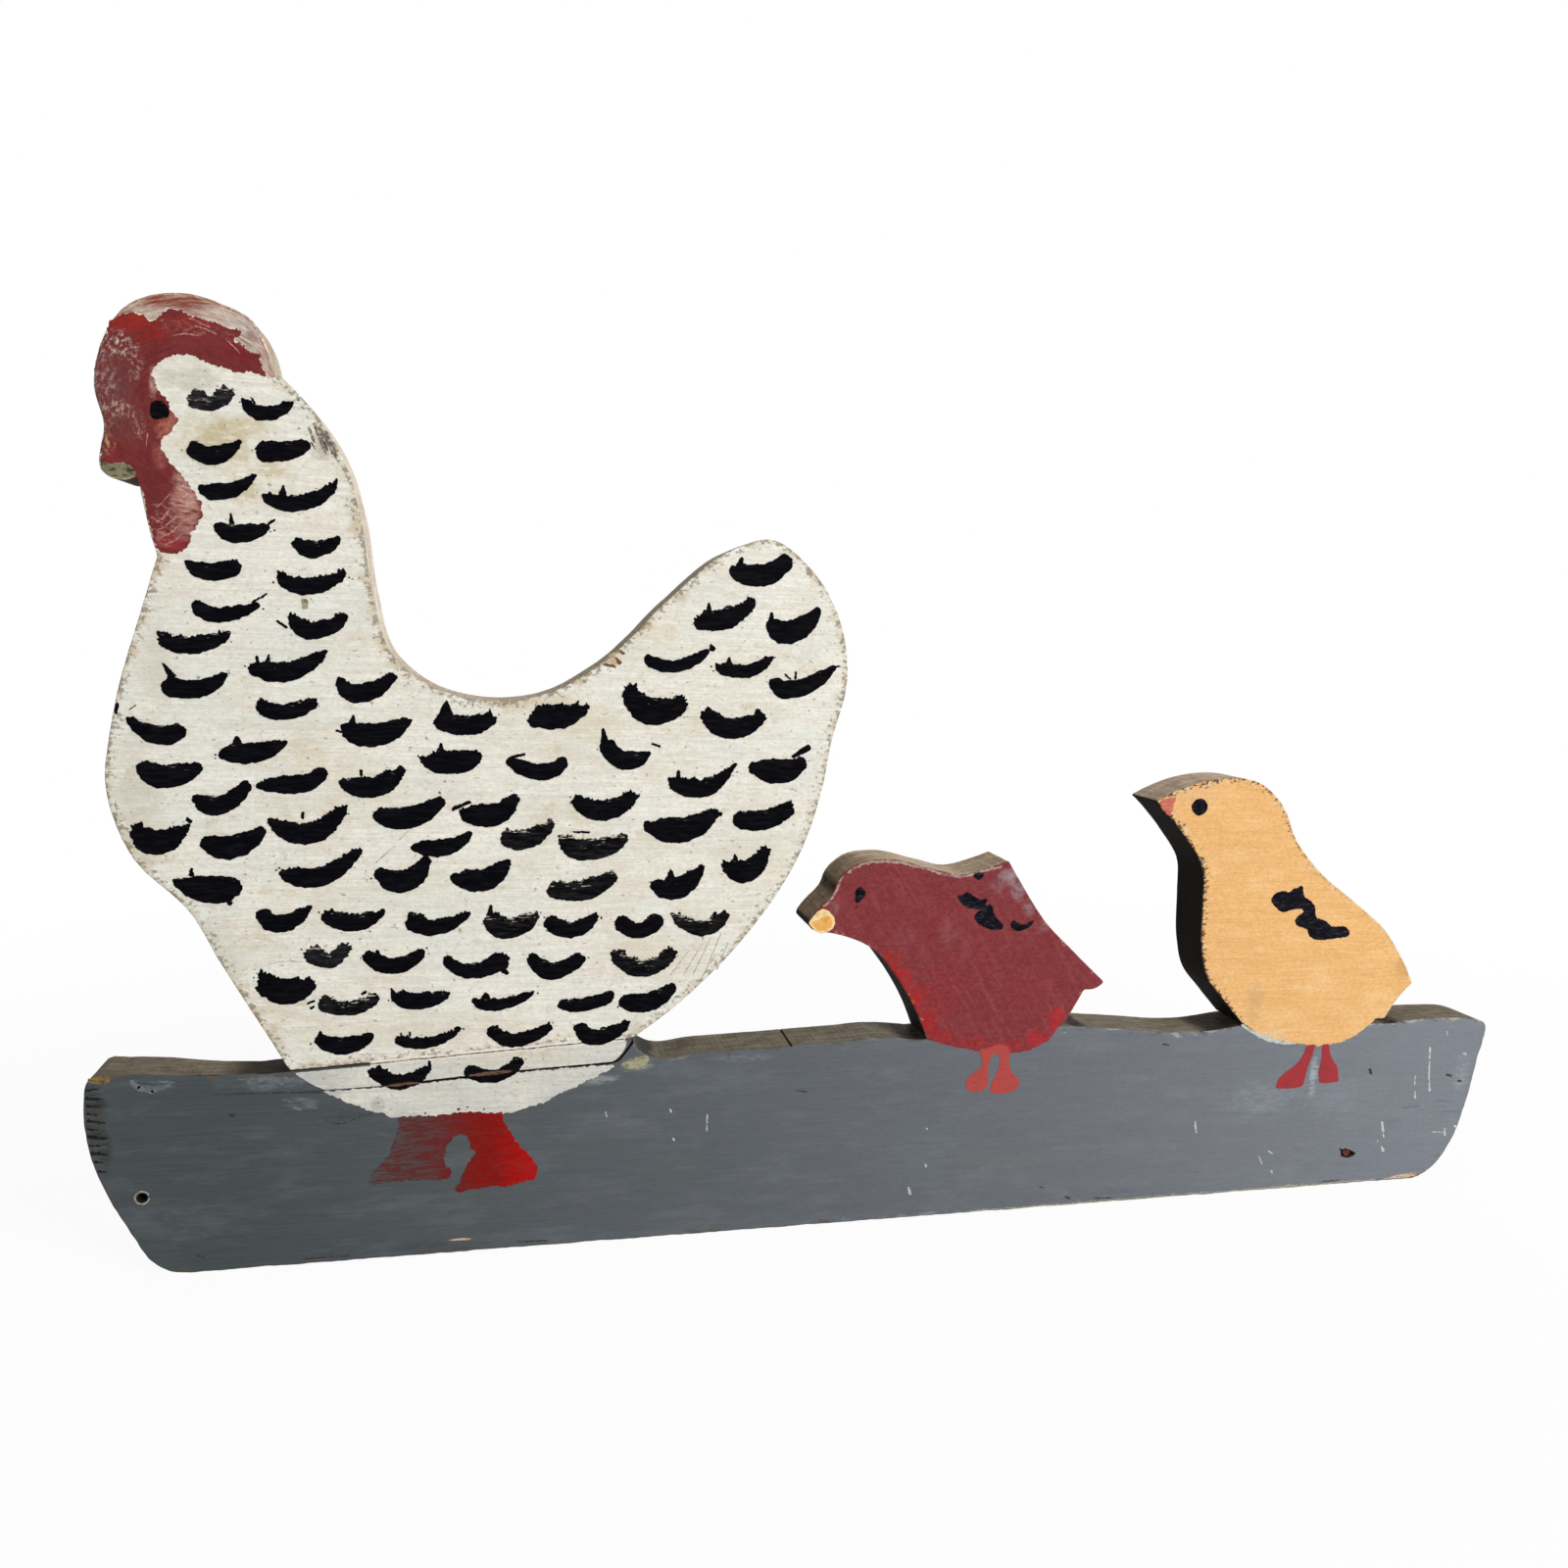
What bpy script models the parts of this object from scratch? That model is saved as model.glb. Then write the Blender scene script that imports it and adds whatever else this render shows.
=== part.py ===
# Folk art carving of a hen and two chicks, sawn from old painted boards.
# The three birds stand in a row on the top edge of one long base board.
# Units are metres. X runs along the base, the painted side faces -Y and +Z is up.
# The origin is the middle of the base's bottom edge, on the surface it stands on.
import math

import bmesh
import bpy
from mathutils import Vector
from mathutils.geometry import interpolate_bezier

# Boards
BOARD_THICKNESS = 0.022
EDGE_WEAR = 0.0007
CLEARANCE = 0.0003
CURVE_STEP = 0.0027

# Base board: its nominal height is the sawn top edge's, and the ends slope in to a flat foot.
# The saw wandered along the top edge, and left of the hen it also leaned, so the back is lower there.
BASE_LENGTH = 0.610
BASE_HEIGHT = 0.080
END_SLOPE = 0.033
SAW_WANDER = 0.004
SAW_LEAN = 0.0032

# Birds: overall length and height, distance of the left foot from the base's left end,
# and how far that foot drops below the nominal height of the base, or rises above it
HEN_LENGTH = 0.2708
HEN_HEIGHT = 0.2776
HEN_FROM_END = 0.0705
HEN_FOOT_DROP = 0.0020

RED_CHICK_LENGTH = 0.1358
RED_CHICK_HEIGHT = 0.0785
RED_CHICK_FROM_END = 0.3243
RED_CHICK_FOOT_DROP = 0.0002

YELLOW_CHICK_LENGTH = 0.1418
YELLOW_CHICK_HEIGHT = 0.1130
YELLOW_CHICK_FROM_END = 0.4770
YELLOW_CHICK_FOOT_RISE = 0.0008

# Dowels that hold the birds on the base
HEN_DOWEL_DIAMETER = 0.0095
HEN_DOWEL_IN_BASE = 0.030
HEN_DOWEL_IN_BIRD = 0.030
CHICK_DOWEL_DIAMETER = 0.0065
CHICK_DOWEL_IN_BASE = 0.022
CHICK_DOWEL_IN_BIRD = 0.022
DOWEL_END_CHAMFER = 0.0008
ROUND_SIDES = 20

# Split along the grain under the hen, open at the hen's tail end and closing towards its head
CRACK_WIDTH = 0.0013
CRACK_DROP = 0.010

# Screw hole near the left end, with the wood chipped away round its mouth
SCREW_HOLE_DIAMETER = 0.0030
SCREW_HOLE_MOUTH = 0.0056
SCREW_HOLE_MOUTH_DEPTH = 0.0012
SCREW_HOLE_FROM_END = 0.0188
SCREW_HOLE_HEIGHT = 0.0312

# Broken square nail near the right end, in a chipped pocket
NAIL_SIZE = 0.0030
NAIL_LENGTH = 0.017
NAIL_POINT = 0.004
NAIL_SHANK_TAPER = 0.85
NAIL_TIP_TAPER = 0.3
NAIL_FROM_END = 0.0705
NAIL_HEIGHT = 0.0155
NAIL_SUNK = 0.0011
POCKET_LENGTH = 0.0096
POCKET_HEIGHT = 0.0052
POCKET_DEPTH = 0.0018
POCKET_FLOOR_SHARE = 0.5

# Outlines of the birds, drawn in millimetres from the left foot. Each stretch goes on from the
# end of the one before it, and the outline turns sharply only where two stretches meet.
HEN_BREAST = [(0, 0), (-9.5, 17.5), (-23, 41.5), (-32.7, 60.5), (-52.2, 82.5), (-59.7, 107), (-56.5, 134),
              (-49.5, 162), (-41, 188.5)]
HEN_WATTLE = [(-44.5, 203), (-46.5, 215.6)]
HEN_FACE_AND_COMB = [(-52.5, 213.7), (-58.3, 216.8), (-58.1, 223.5), (-56.7, 231), (-59.4, 244),
                     (-57, 258.5), (-48.5, 272), (-32.5, 277.6), (-17, 274.6), (-9.3, 270.8), (-6, 265.5),
                     (-2.9, 254.9)]
HEN_NECK_AND_BACK = [(9.5, 243), (20, 227), (26.2, 206), (30.2, 179), (37.2, 157), (50, 146.5),
                     (70.5, 141.6), (90.5, 144), (113.2, 157.2)]
HEN_TAIL = [(139, 183.2), (159.5, 200.8), (178, 206.9), (194.5, 196), (207, 176), (210.9, 154),
            (205.5, 128.5), (202, 107), (193.5, 80.5), (177.5, 54.5), (152.5, 26.5), (128.5, 7.6)]
HEN_STRETCHES = [HEN_BREAST, HEN_WATTLE, HEN_FACE_AND_COMB, HEN_NECK_AND_BACK + HEN_TAIL]

RED_CHICK_BREAST = [(0, 0), (-5.5, 12.5), (-16, 29), (-26, 40.2), (-38, 45.8), (-49, 48)]
RED_CHICK_HEAD = [(-54.6, 51), (-51, 57.2), (-45, 63.5), (-42.5, 70), (-35.5, 76.2), (-22, 78.5),
                  (-3, 74.7), (11, 71.8), (23.5, 74.8), (32, 77.8)]
RED_CHICK_RUMP = [(40.5, 65), (50, 52), (66.5, 36.2), (80.9, 23.2)]
RED_CHICK_TAIL = [(78, 20.8), (71.5, 20)]
RED_CHICK_UNDER_TAIL = [(67.8, 13), (62.9, 4.8)]
RED_CHICK_STRETCHES = [RED_CHICK_BREAST, RED_CHICK_HEAD, RED_CHICK_RUMP, RED_CHICK_TAIL,
                       RED_CHICK_UNDER_TAIL]

YELLOW_CHICK_BREAST = [(0, 0), (-11.5, 12), (-20.5, 22.5), (-25, 38), (-26.3, 56), (-28.3, 74),
                       (-37.5, 86.5), (-53.3, 102.6)]
YELLOW_CHICK_HEAD = [(-41, 108.5), (-22, 113), (-3, 111.2), (8.5, 102.5), (19, 84.5), (32.5, 70.5),
                     (53, 56), (71, 42), (81.5, 28.5), (88.3, 17.2)]
YELLOW_CHICK_TAIL = [(82, 10.8), (75.3, 0.2)]
YELLOW_CHICK_STRETCHES = [YELLOW_CHICK_BREAST, YELLOW_CHICK_HEAD, YELLOW_CHICK_TAIL]

# Ends of the base from the foot upwards: shares of the end slope, and of the base's height
LEFT_END = [(1, 0), (0.79, 0.02), (0.63, 0.075), (0.47, 0.19), (0.24, 0.375), (0.085, 0.55),
            (0.009, 0.72), (0, 0.81), (0.012, 0.93)]
RIGHT_END = [(1, 0), (0.76, 0.03), (0.56, 0.105), (0.36, 0.24), (0.19, 0.45), (0.1, 0.69),
             (0.012, 0.88), (0, 0.945)]

# Hand-sawn top edge of the base between the birds: shares of each stretch's length, and of the wander
TOP_LEFT_END = [(0.03, -0.42), (0.14, -0.3), (0.32, -0.32), (0.5, -0.58), (0.72, -0.7), (0.92, -0.65)]
TOP_HEN_TO_RED = [(0.045, -0.6), (0.21, -0.48), (0.37, -0.2), (0.53, 0), (0.69, 0.15), (0.82, 0.4),
                  (0.93, 0.15)]
TOP_RED_TO_YELLOW = [(0.03, 0.85), (0.1, 0.7), (0.22, 0.42), (0.43, 0), (0.55, -0.27), (0.7, -0.45),
                     (0.84, -0.32), (0.92, -0.12)]
TOP_RIGHT_END = [(0.05, -0.37), (0.16, -0.22), (0.3, -0.03), (0.62, 0.03), (0.79, -0.05), (0.91, -0.32),
                 (0.975, -0.62)]

# Split from the hen's tail foot: shares of the hen's seat length, and of the split's drop
CRACK_PATH = [(0, 0), (-0.012, -0.37), (-0.033, -0.72), (-0.065, -0.88), (-0.155, -1), (-0.43, -1.3),
              (-0.65, -1.47), (-0.9, -1.6), (-1.06, -1.61)]
CRACK_STUB = (0.014, -0.43)

# Places of the dowels along each seat, as shares of its length
HEN_DOWELS = {"left": 0.17, "middle": 0.5, "right": 0.83}
CHICK_DOWELS = {"left": 0.26, "right": 0.74}


def clear_scene():
    for thing in list(bpy.data.objects):
        bpy.data.objects.remove(thing, do_unlink=True)


def painted(name, colour, roughness, metallic=0.0):
    material = bpy.data.materials.new(name)
    material.use_nodes = True
    shader = material.node_tree.nodes["Principled BSDF"]
    shader.inputs["Base Color"].default_value = (*colour, 1.0)
    shader.inputs["Roughness"].default_value = roughness
    shader.inputs["Metallic"].default_value = metallic
    material.diffuse_color = (*colour, 1.0)
    return material


def tangents(points):
    # Direction of a smooth curve at each of its points, weighted by the chords beside the point
    chords = [b - a for a, b in zip(points, points[1:])]
    inner = []
    for before, after in zip(chords, chords[1:]):
        near, far = before.length, after.length
        inner.append((before * (far / near) + after * (near / far)) / (near + far))
    first = chords[0].normalized() * 2 - inner[0]
    last = chords[-1].normalized() * 2 - inner[-1]
    return [first, *inner, last]


def smooth(points):
    # Points along a smooth curve through the given ones, both ends included
    points = [Vector(p) for p in points]
    if len(points) < 3:
        return points
    slopes = tangents(points)
    curve = [points[0]]
    for index, (a, b) in enumerate(zip(points, points[1:])):
        chord = (b - a).length
        near = a + slopes[index] * (chord / 3)
        far = b - slopes[index + 1] * (chord / 3)
        steps = max(2, round(chord / CURVE_STEP) + 1)
        curve.extend(interpolate_bezier(a, near, far, b, steps)[1:])
    return curve


def bird_stretches(stretches, length, height, foot):
    # The drawn stretches of a bird, brought to its length and height and set on its left foot
    drawn = [point for stretch in stretches for point in stretch]
    wide = length / (max(x for x, _ in drawn) - min(x for x, _ in drawn))
    high = height / max(z for _, z in drawn)
    placed = []
    start = None
    for stretch in stretches:
        points = [Vector((foot.x + x * wide, foot.y + z * high)) for x, z in stretch]
        placed.append([start, *points] if start else points)
        start = points[-1]
    return placed


def left_foot(from_end, rise):
    return Vector((from_end - BASE_LENGTH / 2, BASE_HEIGHT + rise))


def board(name, runs, material):
    # Sawn board: the runs follow one another round the outline, and sharp corners lie between them.
    # A run is a list of points, whether its edges are worn, and how far the saw leaned along it.
    # The straight edge that closes the outline is never worn.
    front_outline = []
    back_outline = []
    worn = []
    for points, is_worn, lean in runs:
        front_outline.extend(points[:-1])
        back_outline.extend(leaned(points, lean)[:-1])
        worn.extend([is_worn] * (len(points) - 1))
    last_corner = runs[-1][0][-1]
    front_outline.append(last_corner)
    back_outline.append(last_corner)
    worn.append(False)
    mesh = bmesh.new()
    front = [mesh.verts.new((p.x, -BOARD_THICKNESS / 2, p.y)) for p in front_outline]
    back = [mesh.verts.new((p.x, BOARD_THICKNESS / 2, p.y)) for p in back_outline]
    mesh.faces.new(front)
    mesh.faces.new(list(reversed(back)))
    count = len(front_outline)
    for index in range(count):
        after = (index + 1) % count
        mesh.faces.new((front[index], back[index], back[after], front[after]))
    softened = []
    for index in range(count):
        after = (index + 1) % count
        if worn[index]:
            softened.append(mesh.edges.get((front[index], front[after])))
            softened.append(mesh.edges.get((back[index], back[after])))
    bmesh.ops.bevel(mesh, geom=softened, offset=EDGE_WEAR, segments=1, affect="EDGES", clamp_overlap=True)
    bmesh.ops.triangulate(mesh, faces=[face for face in mesh.faces if len(face.verts) > 4])
    bmesh.ops.recalc_face_normals(mesh, faces=mesh.faces)
    return finish(name, mesh, material)


def leaned(points, lean):
    # Back edge of a run along which the saw leans more and more, up to the run's last point
    start, end = points[0], points[-1]
    return [p - Vector((0, lean * (p.x - start.x) / (end.x - start.x))) for p in points[:-1]] + [end]


def finish(name, mesh, material):
    data = bpy.data.meshes.new(name)
    mesh.to_mesh(data)
    mesh.free()
    if material:
        data.materials.append(material)
    thing = bpy.data.objects.new(name, data)
    bpy.context.collection.objects.link(thing)
    return thing


def turned(name, stations, sides, material, centre, axis="Z"):
    # Round or square bar: rings of the given (height, radius) stations, closed at both ends
    mesh = bmesh.new()
    rings = []
    for height, radius in stations:
        ring = []
        for side in range(sides):
            angle = 2 * math.pi * side / sides
            across, along = radius * math.cos(angle), radius * math.sin(angle)
            place = (across, along, height) if axis == "Z" else (across, height, along)
            ring.append(mesh.verts.new(Vector(place) + Vector(centre)))
        rings.append(ring)
    for low, high in zip(rings, rings[1:]):
        for side in range(sides):
            after = (side + 1) % sides
            mesh.faces.new((low[side], low[after], high[after], high[side]))
    mesh.faces.new(list(reversed(rings[0])))
    mesh.faces.new(rings[-1])
    bmesh.ops.recalc_face_normals(mesh, faces=mesh.faces)
    thing = finish(name, mesh, material)
    if material and sides > 4:
        thing.data.shade_smooth()
        thing.data.set_sharp_from_angle(angle=math.radians(40))
    return thing


def cut(thing, cutter):
    cutter.hide_render = True
    cutter.display_type = "WIRE"
    difference = thing.modifiers.new(cutter.name, "BOOLEAN")
    difference.operation = "DIFFERENCE"
    difference.solver = "EXACT"
    difference.object = cutter


def seat_of(stretches):
    return stretches[0][0], stretches[-1][-1]


def top_run(start, end, shares):
    # Sawn top edge of the base from one corner to the next
    length = end.x - start.x
    middle = [Vector((start.x + along * length, BASE_HEIGHT + rise * SAW_WANDER)) for along, rise in shares]
    return [start, *middle, end]


def base_seat(bird):
    # Corners of the base's seat under a bird, one clearance below the bird's own
    below = Vector((0, CLEARANCE))
    left, right = seat_of(bird)
    return left - below, right - below


def crack_sides(seat_left, seat_right):
    # Upper side of the split from the seat's right corner to its tip, and lower side back out again
    length = seat_right.x - seat_left.x
    path = smooth([seat_right + Vector((x * length, z * CRACK_DROP)) for x, z in CRACK_PATH])
    lower = []
    for index, point in enumerate(path[1:-1], start=1):
        along = (path[index + 1] - path[index - 1]).normalized()
        outward = Vector((-along.y, along.x))
        share_left = 1 - index / (len(path) - 1)
        lower.append(point + outward * CRACK_WIDTH * math.sqrt(share_left))
    stub = seat_right + Vector((CRACK_STUB[0] * length, CRACK_STUB[1] * CRACK_DROP))
    inside = [point for point in lower if point.y < stub.y - CRACK_WIDTH]
    return path, [path[-1], *reversed(inside), stub]


def base_runs(hen, red, yellow):
    half = BASE_LENGTH / 2
    left_end = [Vector((END_SLOPE * x - half, BASE_HEIGHT * z)) for x, z in LEFT_END]
    right_end = [Vector((half - END_SLOPE * x, BASE_HEIGHT * z)) for x, z in RIGHT_END]
    hen_left, hen_right = base_seat(hen)
    red_left, red_right = base_seat(red)
    yellow_left, yellow_right = base_seat(yellow)
    crack_upper, crack_lower = crack_sides(hen_left, hen_right)
    stub = crack_lower[-1]
    return [
        (smooth(left_end), True, 0),
        (smooth(top_run(left_end[-1], hen_left, TOP_LEFT_END)), True, SAW_LEAN),
        ([hen_left, hen_right], False, 0),
        (crack_upper, False, 0),
        (crack_lower, False, 0),
        (smooth(top_run(stub, red_left, TOP_HEN_TO_RED)), True, 0),
        ([red_left, red_right], False, 0),
        (smooth(top_run(red_right, yellow_left, TOP_RED_TO_YELLOW)), True, 0),
        ([yellow_left, yellow_right], False, 0),
        (smooth(top_run(yellow_right, right_end[-1], TOP_RIGHT_END)), True, 0),
        (smooth(list(reversed(right_end))), True, 0),
    ]


def bird_runs(stretches):
    return [(smooth(stretch), True, 0) for stretch in stretches]


def dowel(name, seat, share, diameter, in_base, in_bird, wood):
    # Dowel across a seat, and the cutter of the hole that it fills in both boards
    left, right = seat
    middle = left.lerp(right, share)
    radius = diameter / 2
    chamfer = DOWEL_END_CHAMFER
    centre = (middle.x, 0, middle.y)
    stations = [(-in_base, radius - chamfer), (chamfer - in_base, radius),
                (in_bird - chamfer, radius), (in_bird, radius - chamfer)]
    turned(name, stations, ROUND_SIDES, wood, centre)
    bore = radius + CLEARANCE
    return turned(name + "_hole", [(-in_base - CLEARANCE, bore), (in_bird + CLEARANCE, bore)],
                  ROUND_SIDES, None, centre)


def fix_bird(bird_name, bird, base, stretches, shares, sizes, wood):
    for side, share in shares.items():
        hole = dowel(f"{bird_name}_dowel_{side}", seat_of(stretches), share, *sizes, wood)
        cut(bird, hole)
        cut(base, hole)


def screw_hole(base):
    # Hole right through the board, with a chipped mouth on the painted side
    x = SCREW_HOLE_FROM_END - BASE_LENGTH / 2
    centre = (x, 0, SCREW_HOLE_HEIGHT)
    face = -BOARD_THICKNESS / 2
    bore, mouth = SCREW_HOLE_DIAMETER / 2, SCREW_HOLE_MOUTH / 2
    flare = (mouth - bore) / SCREW_HOLE_MOUTH_DEPTH
    proud = SCREW_HOLE_MOUTH_DEPTH
    stations = [(face - proud, mouth + flare * proud), (face + SCREW_HOLE_MOUTH_DEPTH, bore),
                (BOARD_THICKNESS, bore)]
    cut(base, turned("screw_hole", stations, ROUND_SIDES, None, centre, axis="Y"))


def broken_nail(base, iron):
    # Square nail stub driven in from the front, the chipped pocket round it and its own hole
    x = BASE_LENGTH / 2 - NAIL_FROM_END
    centre = (x, 0, NAIL_HEIGHT)
    face = -BOARD_THICKNESS / 2
    head = face + NAIL_SUNK
    corner = NAIL_SIZE / math.sqrt(2)
    tip = head + NAIL_LENGTH
    shank, point = corner * NAIL_SHANK_TAPER, corner * NAIL_TIP_TAPER
    nail = [(head, corner), (tip - NAIL_POINT, shank), (tip, point)]
    turned("broken_nail", nail, 4, iron, centre, axis="Y")
    gap = CLEARANCE * math.sqrt(2)
    hole = [(face - NAIL_SUNK, corner + gap), (tip - NAIL_POINT, shank + gap),
            (tip + CLEARANCE, point + gap)]
    cut(base, turned("nail_hole", hole, 4, None, centre, axis="Y"))
    # The pocket narrows from its rim on the face, where its half width is 1, down to its floor
    funnel = [(face - POCKET_DEPTH, 2 - POCKET_FLOOR_SHARE), (face + POCKET_DEPTH, POCKET_FLOOR_SHARE)]
    pocket = turned("nail_pocket", funnel, 4, None, (0, 0, 0), axis="Y")
    pocket.location = centre
    pocket.scale = (POCKET_LENGTH / 2, 1, POCKET_HEIGHT / 2)
    cut(base, pocket)


def build():
    clear_scene()
    grey_paint = painted("grey_paint_on_pine", (0.118, 0.141, 0.157), 0.62)
    cream_paint = painted("cream_paint_on_pine", (0.745, 0.705, 0.590), 0.60)
    red_paint = painted("barn_red_paint_on_pine", (0.300, 0.042, 0.052), 0.58)
    yellow_paint = painted("straw_yellow_paint_on_pine", (0.880, 0.560, 0.205), 0.58)
    birch = painted("birch_dowel", (0.560, 0.390, 0.225), 0.70)
    rust = painted("rusted_iron", (0.105, 0.045, 0.024), 0.85, 0.6)

    hen_outline = bird_stretches(HEN_STRETCHES, HEN_LENGTH, HEN_HEIGHT,
                                 left_foot(HEN_FROM_END, -HEN_FOOT_DROP))
    red_outline = bird_stretches(RED_CHICK_STRETCHES, RED_CHICK_LENGTH, RED_CHICK_HEIGHT,
                                 left_foot(RED_CHICK_FROM_END, -RED_CHICK_FOOT_DROP))
    yellow_outline = bird_stretches(YELLOW_CHICK_STRETCHES, YELLOW_CHICK_LENGTH, YELLOW_CHICK_HEIGHT,
                                    left_foot(YELLOW_CHICK_FROM_END, YELLOW_CHICK_FOOT_RISE))

    base = board("base_board", base_runs(hen_outline, red_outline, yellow_outline), grey_paint)
    hen = board("hen", bird_runs(hen_outline), cream_paint)
    red = board("red_chick", bird_runs(red_outline), red_paint)
    yellow = board("yellow_chick", bird_runs(yellow_outline), yellow_paint)

    hen_dowel = (HEN_DOWEL_DIAMETER, HEN_DOWEL_IN_BASE, HEN_DOWEL_IN_BIRD)
    chick_dowel = (CHICK_DOWEL_DIAMETER, CHICK_DOWEL_IN_BASE, CHICK_DOWEL_IN_BIRD)
    fix_bird("hen", hen, base, hen_outline, HEN_DOWELS, hen_dowel, birch)
    fix_bird("red_chick", red, base, red_outline, CHICK_DOWELS, chick_dowel, birch)
    fix_bird("yellow_chick", yellow, base, yellow_outline, CHICK_DOWELS, chick_dowel, birch)
    screw_hole(base)
    broken_nail(base, rust)


build()
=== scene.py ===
import math
import random

import bmesh
import bpy
import numpy as np
from mathutils import Matrix, Vector, geometry, kdtree, noise


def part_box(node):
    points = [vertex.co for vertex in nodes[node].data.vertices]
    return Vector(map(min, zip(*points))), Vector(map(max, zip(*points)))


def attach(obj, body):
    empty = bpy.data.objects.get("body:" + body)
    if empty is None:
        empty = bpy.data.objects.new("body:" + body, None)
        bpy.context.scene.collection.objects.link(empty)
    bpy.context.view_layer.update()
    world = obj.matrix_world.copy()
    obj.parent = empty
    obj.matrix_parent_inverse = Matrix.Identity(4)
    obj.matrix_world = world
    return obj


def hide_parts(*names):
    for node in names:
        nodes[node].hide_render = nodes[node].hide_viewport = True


# Looks of an old sawn and painted carving: a hen and two chicks on a long board.
# All plan numbers are (x, z) in millimetres on the painted face, z up from the shelf.

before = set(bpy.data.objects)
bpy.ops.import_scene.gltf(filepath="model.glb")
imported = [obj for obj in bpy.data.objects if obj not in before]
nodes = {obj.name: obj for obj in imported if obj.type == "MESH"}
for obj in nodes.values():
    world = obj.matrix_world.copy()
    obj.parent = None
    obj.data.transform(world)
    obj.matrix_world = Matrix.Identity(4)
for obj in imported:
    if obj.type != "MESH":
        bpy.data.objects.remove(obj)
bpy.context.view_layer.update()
mm = 0.001
faceY = -10.8    # bare painted face; brushed-on marks stand up to 0.2 mm proud of it
backY = 10.9


# Small helpers: colour, nodes, patterns.

def toLinear(hexColour):
    parts = [int(hexColour[i:i + 2], 16) / 255 for i in (1, 3, 5)]
    return tuple(c / 12.92 if c <= 0.04045 else ((c + 0.055) / 1.055) ** 2.4 for c in parts) + (1.0,)


def addNode(tree, kind, values):
    # values holds the node's own settings and its inputs: a socket is linked, a hex colour made linear,
    # and another node stands for its first output
    node = tree.nodes.new("ShaderNode" + kind)
    for key, value in values.items():
        if isinstance(value, bpy.types.Node):
            value = value.outputs[0]
        if isinstance(value, bpy.types.NodeSocket):
            tree.links.new(value, node.inputs[key])
        elif isinstance(key, str) and hasattr(node, key):
            setattr(node, key, value)
        else:
            node.inputs[key].default_value = toLinear(value) if isinstance(value, str) else value
    return node


def patches(tree, place, sizes, low, high, detail=5, rough=0.7, shift=(0, 0, 0)):
    # 0 to 1 pattern, its patches about sizes mm along X, Y and Z; low and high set its contrast
    placed = addNode(tree, "Mapping", {"Scale": [1000 / size for size in sizes], "Location": shift,
                                       "Vector": place})
    cloud = addNode(tree, "TexNoise", {"Scale": 1.0, "Detail": detail, "Roughness": rough,
                                       "Vector": placed})
    return addNode(tree, "MapRange", {"From Min": low, "From Max": high, "Value": cloud})


def layered(tree, colour, coats):
    # each coat: its colour, the most of it that shows, and the patterns that say where it does
    for hue, share, *where in coats:
        amount = share
        for mask in where:
            amount = addNode(tree, "Math", {"operation": "MULTIPLY", 0: mask, 1: amount})
        colour = addNode(tree, "Mix", {"data_type": "RGBA", 0: amount, 6: colour, 7: hue}).outputs[2]
    return colour


def emptyTree(owner):
    # for a new material or world
    owner.use_nodes = True
    owner.node_tree.nodes.clear()
    return owner.node_tree


def startMaterial(name, roughness, specular):
    # its object coordinates come back too: every pattern is laid out in them
    material = bpy.data.materials.new(name)
    tree = emptyTree(material)
    surface = addNode(tree, "BsdfPrincipled", {"Roughness": roughness, "Specular IOR Level": specular})
    addNode(tree, "OutputMaterial", {"Surface": surface})
    place = addNode(tree, "TexCoord", {}).outputs["Object"]
    return material, tree, surface, place


def dressSurface(tree, surface, colour, depth, *relief):
    # relief: patterns and shares that add up to the surface's height, depth mm at most
    bumpStrength = 0.85    # full strength shows worn paint deeper than it is
    tree.links.new(colour, surface.inputs["Base Color"])
    height = 0.0
    for pattern, share in relief:
        height = addNode(tree, "Math", {"operation": "MULTIPLY_ADD", 0: pattern, 1: share, 2: height})
    bump = addNode(tree, "Bump", {"Distance": depth * mm, "Strength": bumpStrength, "Height": height})
    tree.links.new(bump.outputs[0], surface.inputs["Normal"])


# Plan curves, in mm.

def evenly(points, step):
    # the same closed curve with points every step mm
    ring = np.vstack([points, points[:1]])
    along = np.concatenate([[0], np.cumsum(np.linalg.norm(np.diff(ring, axis=0), axis=1))])
    count = max(8, int(round(along[-1] / step)))
    want = np.arange(count) * along[-1] / count
    return np.column_stack([np.interp(want, along, ring[:, 0]), np.interp(want, along, ring[:, 1])])


def curvePoint(p0, p1, p2, p3, t):
    # centripetal Catmull-Rom curve: passes through p1 and p2, and never loops between them
    gaps = [max(np.linalg.norm(b - a), 1e-6) ** 0.5 for a, b in ((p0, p1), (p1, p2), (p2, p3))]
    k0, k1 = 0.0, gaps[0]
    k2, k3 = k1 + gaps[1], k1 + gaps[1] + gaps[2]
    t = k1 + t * (k2 - k1)
    a1 = (k1 - t) / (k1 - k0) * p0 + (t - k0) / (k1 - k0) * p1
    a2 = (k2 - t) / (k2 - k1) * p1 + (t - k1) / (k2 - k1) * p2
    a3 = (k3 - t) / (k3 - k2) * p2 + (t - k2) / (k3 - k2) * p3
    b1 = (k2 - t) / (k2 - k0) * a1 + (t - k0) / (k2 - k0) * a2
    b2 = (k3 - t) / (k3 - k1) * a2 + (t - k1) / (k3 - k1) * a3
    return (k2 - t) / (k2 - k1) * b1 + (t - k1) / (k2 - k1) * b2


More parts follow.
